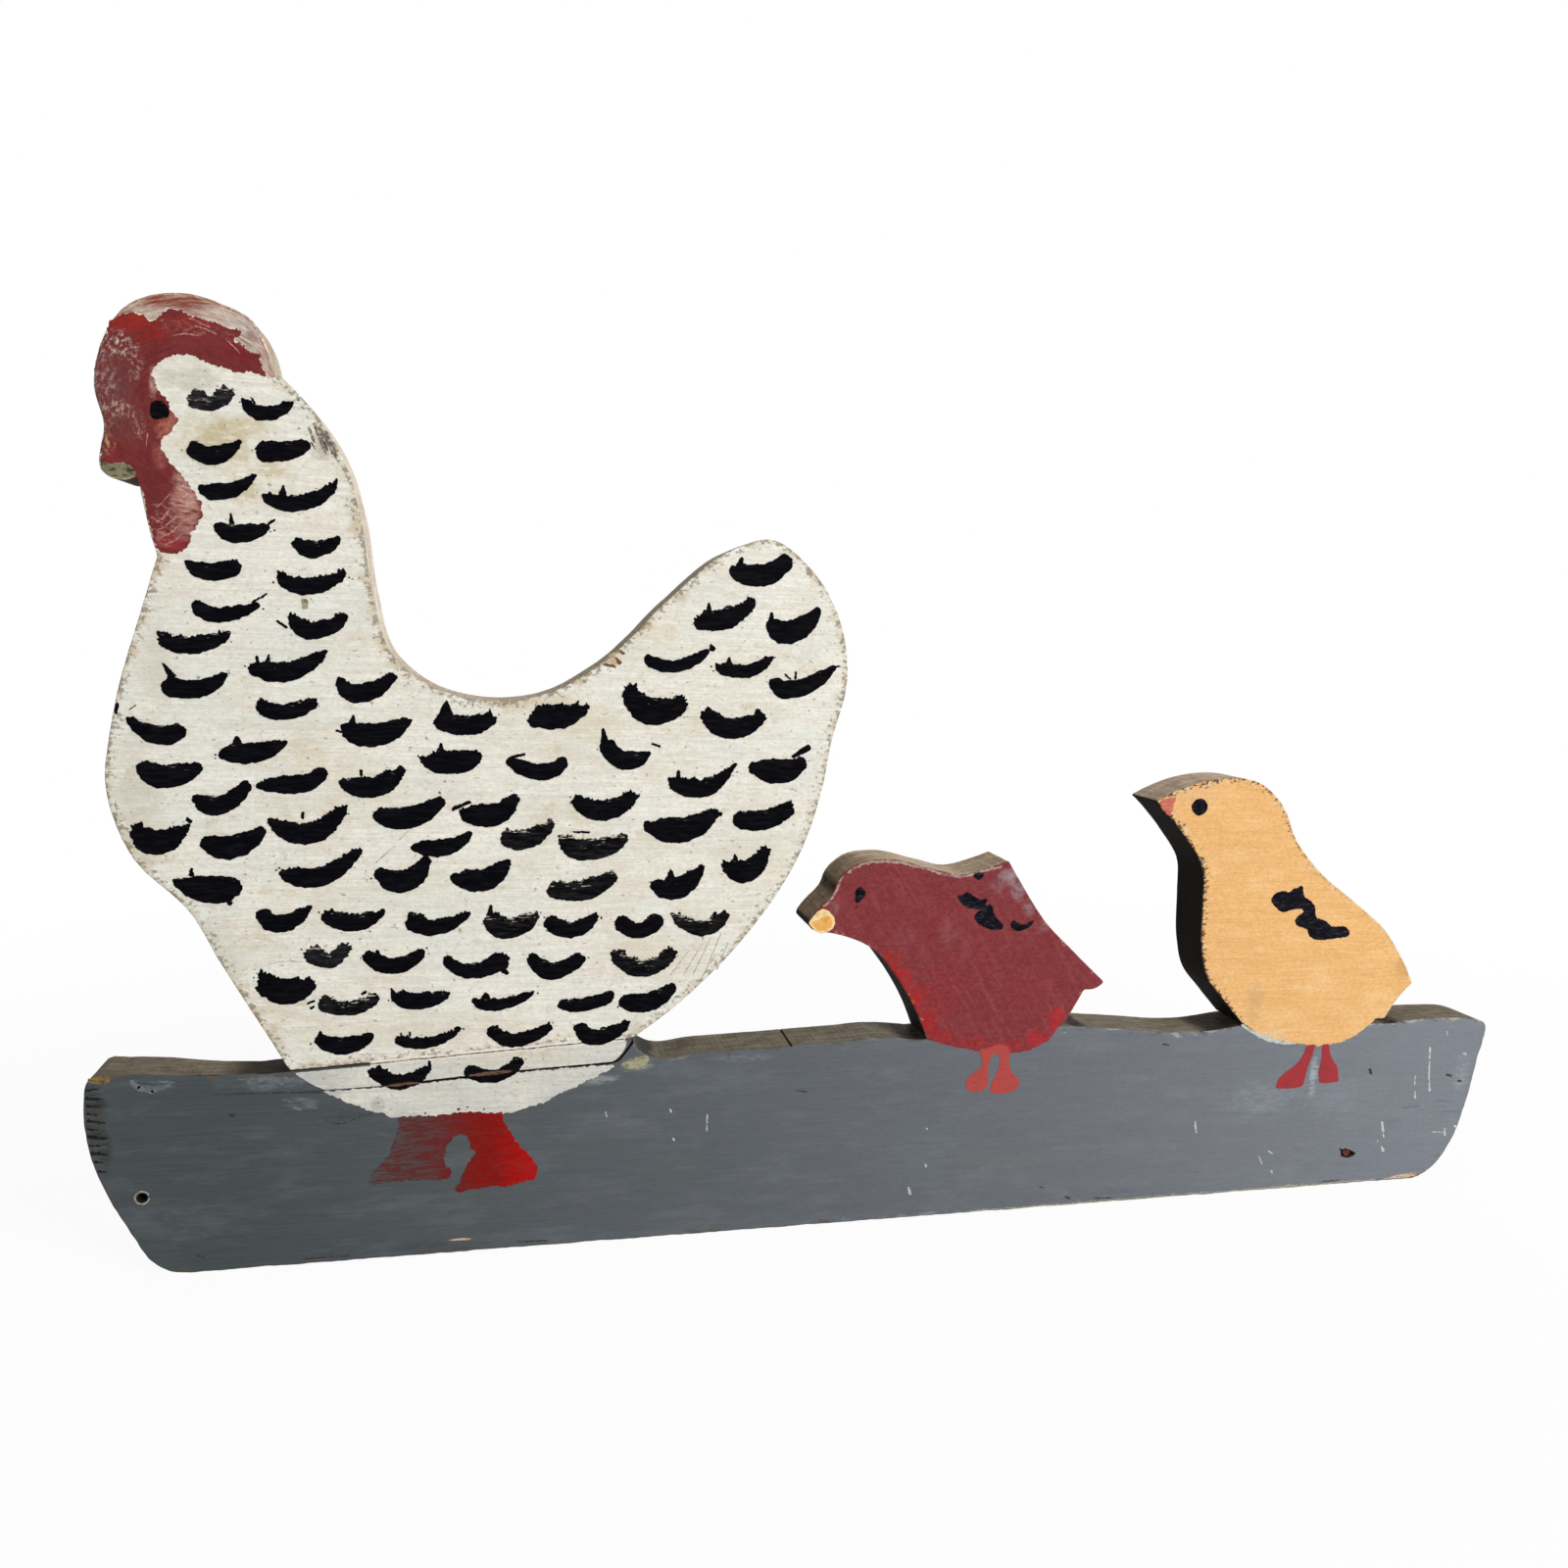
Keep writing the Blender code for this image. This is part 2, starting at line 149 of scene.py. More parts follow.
def smoothLoop(points, step, cornerTurn=35, straightFrom=1e9):
    # closed curve through the points; turns sharper than cornerTurn degrees stay corners
    points = np.asarray(points, float)
    count = len(points)
    ahead = np.roll(points, -1, axis=0) - points
    heading = np.unwrap(np.arctan2(ahead[:, 1], ahead[:, 0]))
    turn = np.degrees(np.abs((heading - np.roll(heading, 1) + math.pi) % (2 * math.pi) - math.pi))
    corner = turn > cornerTurn
    out = []
    for i in range(count):
        j = (i + 1) % count
        p1, p2 = points[i], points[j]
        span = np.linalg.norm(p2 - p1)
        pieces = max(2, int(span / step * 1.5))    # finer than step, for evenly to pick from
        if span > straightFrom:
            out += [p1 + (p2 - p1) * t / pieces for t in range(pieces)]
            continue
        p0 = 2 * p1 - p2 if corner[i] else points[i - 1]
        p3 = 2 * p2 - p1 if corner[j] else points[(j + 1) % count]
        p0 = p1 + (p0 - p1) * min(1, span / np.linalg.norm(p0 - p1))    # a long neighbour would bulge it
        p3 = p2 + (p3 - p2) * min(1, span / np.linalg.norm(p3 - p2))
        out += [curvePoint(p0, p1, p2, p3, t / pieces) for t in range(pieces)]
    return evenly(np.array(out), step)


def softened(points, rounds):
    # takes the sharpness off, each round by a quarter of both neighbours
    for _ in range(rounds):
        points = (np.roll(points, 1, axis=0) + 2 * points + np.roll(points, -1, axis=0)) / 4
    return points


def outward(points):
    # unit normals of a counter-clockwise loop
    along = np.roll(points, -1, axis=0) - np.roll(points, 1, axis=0)
    normals = np.column_stack([along[:, 1], -along[:, 0]])
    return normals / np.maximum(np.linalg.norm(normals, axis=1, keepdims=True), 1e-9)


def sideOf(p, q, r):
    # over 0 where the point r lies left of the line from p to q
    return (q[:, 0] - p[:, 0]) * (r[:, 1] - p[:, 1]) - (q[:, 1] - p[:, 1]) * (r[:, 0] - p[:, 0])


def uncrossed(points):
    # flattens the small loops, of less than reach points, that a curve makes where it crosses itself
    reach, rounds = 30, 4    # flattening one loop can make another cross
    points = points.copy()
    count = len(points)
    for _ in range(rounds):
        ends = np.roll(points, -1, axis=0)
        found = False
        for k in range(2, min(reach, count // 2)):
            a, b, c, d = points, ends, np.roll(points, -k, axis=0), np.roll(ends, -k, axis=0)
            crossing = ((sideOf(a, b, c) * sideOf(a, b, d) < 0)
                        & (sideOf(c, d, a) * sideOf(c, d, b) < 0))
            for i in np.nonzero(crossing)[0]:
                start, end = points[i].copy(), points[(i + k + 1) % count].copy()
                for step in range(1, k + 1):
                    points[(i + step) % count] = start + (end - start) * step / (k + 1)
                found = True
        if not found:
            break
    return points


def counterClockwise(points):
    # the same loop, turned round where it ran clockwise
    points = np.asarray(points, float)
    x, z = points[:, 0], points[:, 1]
    area = np.sum(x * np.roll(z, -1) - np.roll(x, -1) * z)
    return points if area > 0 else points[::-1]


def roomInside(points, normals, most):
    # how far each point can go in before it comes nearer to another part of the outline
    tree = kdtree.KDTree(len(points))
    for i, (x, z) in enumerate(points):
        tree.insert((x, z, 0), i)
    tree.balance()
    room = np.zeros(len(points))
    step, nearly = 0.25, 0.96
    for i, (p, n) in enumerate(zip(points, normals)):
        for depth in np.arange(step, most + 0.01, step):
            q = p - n * depth
            if tree.find((q[0], q[1], 0))[2] < depth * nearly:
                break
            room[i] = depth
    low = np.min([np.roll(room, k) for k in range(-2, 3)], axis=0)
    return sum(np.roll(low, k) for k in range(-2, 3)) / 5


def ripples(points, size, seed):
    # smooth noise at each point, about -1 to 1, with waves about size mm long
    layerGap = 7.31    # how far apart two seeds lie in the noise
    return np.array([noise.noise(Vector((x / size, z / size, seed * layerGap))) for x, z in points])


# Meshes.

def fillCap(bm, verts, flip):
    # Delaunay triangles over one flat loop of vertices that runs round the board
    spots = [Vector((v.co.x, v.co.z)) / mm for v in verts]
    count = len(spots)
    edges = [(i, (i + 1) % count) for i in range(count)]
    places, _, faces, origins, _, _ = geometry.delaunay_2d_cdt(spots, edges, [], 1, 1e-6)
    chosen = []
    for place, origin in zip(places, origins):
        chosen.append(verts[origin[0]] if origin
                      else bm.verts.new((place.x * mm, verts[0].co.y, place.y * mm)))
    crossings = sum(1 for origin in origins if not origin)
    if crossings:
        print("  outline crosses itself at", crossings, "points")
    made = []
    for face in faces:
        corners = [chosen[k] for k in (face[::-1] if flip else face)]
        if len(set(corners)) == 3 and not bm.faces.get(corners):
            made.append(bm.faces.new(corners))
    return made


def bridge(bm, near, far):
    # a band of faces between two rings of as many vertices
    pairs = list(zip(near, far))
    return [bm.faces.new((a, c, d, b)) for (a, b), (c, d) in zip(pairs, pairs[1:] + pairs[:1])]


def newObject(name, bm, materials):
    mesh = bpy.data.meshes.new(name)
    bm.normal_update()
    bm.to_mesh(mesh)
    bm.free()
    for material in materials:
        mesh.materials.append(material)
    made = bpy.data.objects.new(name, mesh)
    bpy.context.scene.collection.objects.link(made)
    return made


def sliceOutline(node, y):
    # the longest outline of a board at depth y, counter-clockwise seen from the front
    bm = bmesh.new()
    bm.from_mesh(node.data)
    bmesh.ops.remove_doubles(bm, verts=bm.verts[:], dist=1e-6)
    cut = bmesh.ops.bisect_plane(bm, geom=bm.verts[:] + bm.edges[:] + bm.faces[:], dist=1e-7,
                                 plane_co=(0, y * mm, 0), plane_no=(0, 1, 0))["geom_cut"]
    near = {}
    for edge in cut:
        if isinstance(edge, bmesh.types.BMEdge):
            a, b = edge.verts
            near.setdefault(a, []).append(b)
            near.setdefault(b, []).append(a)

    def place(vert):
        return vert.co.x, vert.co.z

    best, left = [], set(near)
    while left:    # from the leftmost vertex on, so that the outline starts at the same point in every run
        here = min(left, key=place)
        loop = []
        while here is not None:
            left.discard(here)
            loop.append(here)
            here = min((vert for vert in near[here] if vert in left), key=place, default=None)
        if len(loop) > len(best):
            best = loop
    points = [np.array((v.co.x, v.co.z)) / mm for v in best]
    bm.free()
    kept, straight = [], 0.0015
    for i, p in enumerate(points):    # drop points that lie on a straight run
        a, b = points[i - 1], points[(i + 1) % len(points)]
        span = b - a
        off = abs(span[0] * (p - a)[1] - span[1] * (p - a)[0]) / max(np.linalg.norm(span), 1e-6)
        if off > straight:
            kept.append(p)
    return counterClockwise(kept)


def withoutSplit(points):
    # the base's outline runs in and out of its split; this takes it straight over the split's mouth
    left, right, low = -246, -104.5, 60    # the split lies between these and the hen's seat
    seatLeft, seatSlope, below = (-237.3, 77.3), 0.0609, 0.7
    inSplit = [left < x < right and low < z < seatLeft[1] + (x - seatLeft[0]) * seatSlope - below
               for x, z in points]
    return np.array([p for p, drop in zip(points, inSplit) if not drop])


def nearestOn(points, loop):
    # for each point the nearest point of the closed loop
    a, b = loop, np.roll(loop, -1, axis=0)
    span = b - a
    length = np.maximum(np.sum(span ** 2, axis=1), 1e-9)
    out = []
    for p in points:
        t = np.clip(np.sum((p - a) * span, axis=1) / length, 0, 1)
        spots = a + span * t[:, None]
        out.append(spots[np.argmin(np.sum((spots - p) ** 2, axis=1))])
    return np.array(out)


outlines = {}    # the even outline of each board, for paint that runs to its edge
boardShape = {    # lengths in mm
    "sliceDepth": 9,    # from the middle of the thickness to the two slices of the CAD board
    "band": 6,    # over which wear fades, in from the edge of the face
    "bandRings": ((1.0, 0.0), (0.55, 0.3), (0.25, 0.6)),    # share of the band's width, wear there
    "frontTurns": (0, 0.25, 0.5, 0.75, 1),    # rings round each arris, as shares of its quarter turn
    "backTurns": (1, 0.66, 0.33, 0),
    "rowsAcross": 18,    # rings over the thickness, for the saw marks
    "wander": (9, 2.6),    # long and short waves of the saw's wander, then of the wear on the arrises
    "wear": (14, 3.5),
    "frontArris": (0.9, 0.35, 2.2),    # swing of an arris about its usual size, least and most
    "backArris": (0.6, 0.4, 1.8),
    "markSize": 2.4,    # of the saw marks; each kind has its squeeze along and across the edge, and its depth
    "marks": (((1, 0.12), 0.22), ((0.35, 0.3), 0.16)),
}


def buildBoard(name, look):
    # a sawn board as rings from its painted face over the front arris, across and round to its back
    node = nodes[name]
    depth = boardShape["sliceDepth"]
    frontSlice, backSlice = sliceOutline(node, -depth), sliceOutline(node, depth)
    if name == "base_board":
        frontSlice, backSlice = withoutSplit(frontSlice), withoutSplit(backSlice)
    front = softened(smoothLoop(frontSlice, look["outlineStep"], straightFrom=8), 2)
    outlines[name] = front
    back = nearestOn(front, backSlice)
    normals = outward(front)
    along = np.concatenate([[0], np.cumsum(np.linalg.norm(np.diff(front, axis=0), axis=1))])
    seed = look["seed"]
    longWave, shortWave = boardShape["wander"]
    wander = ripples(front, longWave, seed) + 0.4 * ripples(front, shortWave, seed + 1)
    wander = look["sawWander"] * np.clip(0.5 + 0.6 * wander, 0, 1)
    longWave, shortWave = boardShape["wear"]
    worn = ripples(front, longWave, seed + 2) + 0.7 * ripples(front, shortWave, seed + 3)
    room = roomInside(front, normals, boardShape["band"] + 0.4)
    count = len(front)

    def ringAt(y, inset):
        share = (y + depth) / (2 * depth)
        flat = front + (back - front) * share - normals * (inset + wander)[:, None]
        return uncrossed(flat)

    def arrisAt(key):
        swing, least, most = boardShape[key]
        return np.minimum(look[key] * np.clip(1 + swing * worn, least, most), room * 0.4 + 0.04)

    frontArris, backArris = arrisAt("frontArris"), arrisAt("backArris")
    rings = []    # (plan points, y, wear), from the painted face to the back
    for share, wear in boardShape["bandRings"]:
        inset = np.maximum(np.minimum(boardShape["band"] * share, room * share * 0.8),
                           frontArris * (1 + share * 0.1))
        rings.append((ringAt(faceY, inset), np.full(count, faceY), wear))
    for t in boardShape["frontTurns"]:
        turn = t * math.pi / 2
        rings.append((ringAt(faceY, frontArris * (1 - math.sin(turn))),
                      faceY + frontArris * (1 - math.cos(turn)), 0.7 + 0.3 * t))
    edgeStart = len(rings) - 1
    rows = boardShape["rowsAcross"]
    for k in range(1, rows):
        y = faceY + frontArris + (backY - backArris - faceY - frontArris) * k / rows
        share = ((y + depth) / (2 * depth))[:, None]
        spots = np.column_stack([along, y])
        marks = look["sawMarks"] * sum(
            np.maximum(0, ripples(spots * squeeze, boardShape["markSize"], seed + 4 + kind)) * most
            for kind, (squeeze, most) in enumerate(boardShape["marks"]))
        flat = front + (back - front) * share - normals * (wander + marks)[:, None]
        rings.append((flat, y, 1.0 if k == 1 else 0.9))
    backStart = len(rings)
    for t in boardShape["backTurns"]:
        turn = t * math.pi / 2
        rings.append((ringAt(backY, backArris * (1 - math.sin(turn))),
                      backY - backArris * (1 - math.cos(turn)), 0.8))

    bm = bmesh.new()
    wearLayer = bm.verts.layers.float.new("wear")
    alongLayer = bm.verts.layers.float.new("along")
    grid = []
    for flat, ys, wear in rings:
        row = []
        for (x, z), y, s in zip(flat, ys, along):
            vert = bm.verts.new((x * mm, float(y) * mm, z * mm))
            vert[wearLayer] = wear
            vert[alongLayer] = s
            row.append(vert)
        grid.append(row)
    for k in range(len(grid) - 1):
        for face in bridge(bm, grid[k], grid[k + 1]):
            face.smooth = k >= len(boardShape["bandRings"])
            face.material_index = 0 if k < edgeStart else (2 if k >= backStart else 1)
    for row, flip, index in ((grid[0], False, 0), (grid[-1], True, 2)):
        for face in fillCap(bm, row, flip):
            face.material_index = index
    bmesh.ops.recalc_face_normals(bm, faces=bm.faces[:])
    return newObject(name + "_sawn", bm, [look["face"], look["edge"], oldBack, bareHole])


def prism(points, yLow, yHigh, topPoints=None):
    # closed block between two depths over a plan outline; topPoints narrows its front end
    points = counterClockwise(points)
    topPoints = points if topPoints is None else counterClockwise(topPoints)
    bm = bmesh.new()
    rows = [[bm.verts.new((x * mm, y * mm, z * mm)) for x, z in ring]
            for ring, y in ((topPoints, yLow), (points, yHigh))]
    bridge(bm, *rows)
    fillCap(bm, rows[0], False)
    fillCap(bm, rows[1], True)
    bmesh.ops.recalc_face_normals(bm, faces=bm.faces[:])
    return bm


def upright(x, z0, z1, radius):
    # closed round bar standing along Z, for the dowel holes
    bm = bmesh.new()
    plan = circle(x, 0, radius)
    rows = [[bm.verts.new((px * mm, py * mm, z * mm)) for px, py in plan] for z in (z0, z1)]
    bridge(bm, *rows)
    bm.faces.new(rows[0][::-1])
    bm.faces.new(rows[1])
    bmesh.ops.recalc_face_normals(bm, faces=bm.faces[:])
    return bm


def cutAway(target, cutterMesh):
    # takes the cutter's volume out of the target's mesh
    cutter = newObject("cutter", cutterMesh, [])
    change = target.modifiers.new("cut", "BOOLEAN")
    change.object = cutter
    change.operation = "DIFFERENCE"
    change.solver = "MANIFOLD"
    shape = bpy.data.meshes.new_from_object(target.evaluated_get(bpy.context.evaluated_depsgraph_get()))
    target.modifiers.clear()
    old, target.data = target.data, shape
    bpy.data.meshes.remove(old)
    bpy.data.objects.remove(cutter)


def circle(x, z, radius, sides=48):
    turns = [2 * math.pi * k / sides for k in range(sides)]
    return [(x + radius * math.cos(turn), z + radius * math.sin(turn)) for turn in turns]


# Paint laid on the faces, as thin raised films.

filmShape = {    # lengths in mm
    "rimWidth": 0.12,    # over which the rim slopes up, and the most of the mark's mean width that it takes
    "rimShare": 0.15,
    "rimDrop": 0.05,    # from the film's top down to its outer rim
    "sunk": 0.08,    # how far the film reaches into the board, so that none floats on a worn arris
    "bite": 0.3,    # the most of the mark's mean width that a ragged edge takes off
    "teeth": (0.2, 0.6),    # bristle teeth at a stroke's ends: squeeze along it, and size
    "jags": (0.3, 0.9, 2.6),    # jags along its top: squeeze upward, size of the fine and the coarse ones
}


def addFilm(bm, outline, index, seed, top, ragged, grain, step=0.5, smoothRounds=2, bristle=0, spikes=0):
    # top is the film's height over the face in mm; ragged is how far its edge strays, in waves of size
    # grain; bristle is how far the brush's teeth run out at the ends of a stroke, and spikes how rough
    # its upper edge is
    riseLayer = bm.verts.layers.float.get("rise") or bm.verts.layers.float.new("rise")
    loop = evenly(counterClockwise(outline), step)
    loop = softened(loop, smoothRounds)
    normals = outward(loop)
    rise = 0.5 + 0.5 * normals[:, 1]    # 0 along the bottom of the mark, 1 along its top
    stray = (ripples(loop, grain, seed) + 0.6 * ripples(loop, grain * 0.4, seed + 1)) * ragged
    if bristle:
        squeeze, size = filmShape["teeth"]
        stray += bristle * ripples(loop * (squeeze, 1), size, seed + 2) * np.abs(normals[:, 0]) ** 2
    if spikes:
        squeeze, fine, coarse = filmShape["jags"]
        jags = (np.abs(ripples(loop * (1, squeeze), fine, seed + 3))
                + 0.5 * ripples(loop * (1, squeeze), coarse, seed + 4))
        middle, half = (loop[:, 0].max() + loop[:, 0].min()) / 2, np.ptp(loop[:, 0]) / 2
        nearEnd = 0.6 + 0.6 * ((loop[:, 0] - middle) / half) ** 2
        stray += spikes * (jags - 0.08) * nearEnd * np.clip(normals[:, 1] + 0.2, 0, 1)
    x, z = loop[:, 0], loop[:, 1]
    area = abs(np.sum(x * np.roll(z, -1) - np.roll(x, -1) * z)) / 2
    wide = 2 * area / np.sum(np.linalg.norm(np.roll(loop, -1, axis=0) - loop, axis=1))
    loop = uncrossed(loop + normals * np.maximum(stray, -wide * filmShape["bite"])[:, None])
    edge = min(filmShape["rimWidth"], wide * filmShape["rimShare"])
    inner = uncrossed(loop - outward(loop) * edge)
    rows = []
    for ring, y in ((inner, faceY - top), (loop, faceY - top + filmShape["rimDrop"]),
                    (loop, faceY + filmShape["sunk"])):
        row = [bm.verts.new((x * mm, y * mm, z * mm)) for x, z in ring]
        for vert, share in zip(row, rise):
            vert[riseLayer] = share
        rows.append(row)
    faces = bridge(bm, rows[0], rows[1]) + bridge(bm, rows[1], rows[2])
    for face in faces + fillCap(bm, rows[0], False) + fillCap(bm, rows[2], True):
        face.material_index = index


def strokeOutline(lx, lz, bx, bz, rx, rz, topZ, leftHigh, rightHigh):
    # a sagging brush stroke with round ends at (lx, lz) and (rx, rz), fattest between bz and topZ
    pulledIn, bluntness = 0.6, 2.8    # end caps sit in from the tips; a high power keeps the stroke fat
    fat, middle = (topZ - bz) / 2, (topZ + bz) / 2
    leftEnd = lx + leftHigh / 2 * pulledIn, lz, leftHigh / 2
    rightEnd = rx - rightHigh / 2 * pulledIn, rz, rightHigh / 2
    line, wide = [], []
    for t in np.linspace(-1, 1, 25):
        endX, endZ, endFat = rightEnd if t > 0 else leftEnd
        line.append((bx + (endX - bx) * abs(t), middle + (endZ - middle) * abs(t) ** 2))
        wide.append(fat + (endFat - fat) * abs(t) ** bluntness)
    line, wide = np.array(line), np.array(wide)
    tangent = np.gradient(line, axis=0)
    tangent /= np.linalg.norm(tangent, axis=1, keepdims=True)
    across = np.column_stack([-tangent[:, 1], tangent[:, 0]]) * wide[:, None]
    turns = np.linspace(0, math.pi, 9)[1:-1]
    rightCap = [line[-1] - across[-1] * math.cos(a) + tangent[-1] * wide[-1] * math.sin(a) for a in turns]
    leftCap = [line[0] + across[0] * math.cos(a) - tangent[0] * wide[0] * math.sin(a) for a in turns]
    return list(line - across) + rightCap + list((line + across)[::-1]) + leftCap


def tickOutline(x0, z0, x1, z1, w0, w1):
    # a short straight mark, w0 wide where it starts and w1 where it ends
    bulge = 0.05    # share of its length by which its ends round out
    along = np.array([x1 - x0, z1 - z0], float)
    across = np.array([-along[1], along[0]]) / np.linalg.norm(along)
    a, b = np.array([x0, z0]), np.array([x1, z1])
    return [a - across * w0 / 2, (a + b) / 2 - across * (w0 + w1) / 4, b - across * w1 / 2,
            b + along * bulge, b + across * w1 / 2, (a + b) / 2 + across * (w0 + w1) / 4,
            a + across * w0 / 2, a - along * bulge]


def tickOutlines(table):
    # one mark a line: where it starts and ends, and its width there
    return [tickOutline(*map(float, line.split())) for line in table.strip().splitlines()]


def ribbon(points, widths, step=1.2, sway=0.25, seed=5):
    # a narrow wandering strip along given points; widths is one number, or one for each point
    points = np.asarray(points, float)
    along = np.concatenate([[0], np.cumsum(np.linalg.norm(np.diff(points, axis=0), axis=1))])
    want = np.arange(0, along[-1], step)
    line = np.column_stack([np.interp(want, along, points[:, 0]), np.interp(want, along, points[:, 1])])
    wide = np.interp(want, along, widths * np.ones(len(points)))
    tangent = np.gradient(line, axis=0)
    across = np.column_stack([-tangent[:, 1], tangent[:, 0]])
    across /= np.linalg.norm(across, axis=1, keepdims=True)
    drift = ripples(line, 4, seed) * sway    # waves 4 mm long
    line = line + across * drift[:, None]
    half = across * wide[:, None] / 2
    return list(map(tuple, line - half)) + list(map(tuple, (line + half)[::-1]))


def edgeRun(name, start, end, inset):
    # the board's outline from near start to near end, going the shorter way, set in from the edge
    loop = outlines[name]
    loop = loop - outward(loop) * inset
    i = int(np.argmin(np.sum((loop - start) ** 2, axis=1)))
    j = int(np.argmin(np.sum((loop - end) ** 2, axis=1)))
    count = len(loop)
    ahead = (j - i) % count
    if ahead <= count - ahead:
        picks = [(i + k) % count for k in range(ahead + 1)]
    else:
        picks = [(i - k) % count for k in range(count - ahead + 1)]
    return [tuple(loop[k]) for k in picks]


# Materials. Pattern sizes are in mm. Bristle lines are about 0.2 mm wide on the real thing, saw lines 0.5 mm
# and flecks 0.3 mm: they are drawn 0.6 to 1.2 mm wide, because finer ones don't show in the render.

def rimMask(tree, place, sizes, push, low, high, shift):
    # speckled wear that gets denser by push towards the board's edge; low and high set its contrast
    wear = addNode(tree, "Attribute", {"attribute_name": "wear"}).outputs["Fac"]
    cloud = patches(tree, place, sizes, 0, 1, 5, 0.65, shift)
    pushed = addNode(tree, "Math", {"operation": "MULTIPLY_ADD", 0: wear, 1: push, 2: cloud})
    return addNode(tree, "MapRange", {"From Min": low, "From Max": high, "Value": pushed})


def blotted(tree, place, colour, spots, frayed, fray, *where):
    # soft patches of another colour, read off the face: x, z, half width, half height, colour, share
    inner, outer = 1.4, 2.0    # radii at which a patch is full and gone, once the frayed pattern is added
    for x, z, wide, high, hue, share in spots:
        off = addNode(tree, "Mapping", {"Scale": (1000 / wide, 0, 1000 / high),
                                        "Location": (-x / wide, 0, -z / high), "Vector": place})
        away = addNode(tree, "VectorMath", {"operation": "LENGTH", 0: off})
        away = addNode(tree, "Math", {"operation": "MULTIPLY_ADD", 0: frayed, 1: fray,
                                      2: away.outputs["Value"]})
        inside = addNode(tree, "MapRange", {"From Min": outer, "From Max": inner, "To Max": share,
                                            "Value": away})
        colour = layered(tree, colour, [(hue, 1.0, inside, *where)])
    return colour


def creamPaint(name, look):
    # old white oil paint, brushed on thin over pine: a low sheen, faint brush lines along the board,
    # tan blotches and dirty rims, which the eye reads as age and handling
    material, tree, surface, place = startMaterial(name, look["roughness"], 0.12)
    cool = patches(tree, place, (22, 20, 12), 0.45, 0.62, 4, 0.6, (9, 4, 7))
    blotch = patches(tree, place, (34, 30, 20), 0.48, 0.7, 5, 0.6)
    fine = patches(tree, place, (6, 8, 2.6), 0.38, 0.66, 6, 0.7, (3, 1, 2))
    frayed = patches(tree, place, (7, 8, 5), 0, 1, shift=(5, 2, 2))
    broken = patches(tree, place, (5, 8, 2), 0.3, 0.52, shift=(2, 2, 8))
    streak = patches(tree, place, (16, 20, 0.65), 0.42, 0.66, 4, 0.68)
    mottle = patches(tree, place, (1.5, 2, 1.0), 0.42, 0.68, 4, 0.72, (1, 1, 6))
    colour = layered(tree, look["paint"], [(look["cool"], 1.0, cool), (look["warm"], 1.0, blotch, fine)])
    colour = blotted(tree, place, colour, look["spots"], frayed, 2, broken)
    colour = layered(tree, colour, [
        (look["streak"], 0.55, streak), (look["streak"], 0.6, mottle),
        (look["rimTan"], 0.7, rimMask(tree, place, (9, 9, 6), 0.22, 0.6, 0.76, (4, 2, 9))),
        (look["rimDirt"], 0.8, rimMask(tree, place, (2.0, 2.3, 1.5), 0.22, 0.62, 0.7, (1, 2, 9))),
        (look["fleck"], 0.4, patches(tree, place, (1.0, 0.9, 0.8), 0.72, 0.77, 2, 0.5, (2, 8, 3)))])
    dressSurface(tree, surface, colour, 0.16, (streak, 0.55), (mottle, 0.45))
    return material


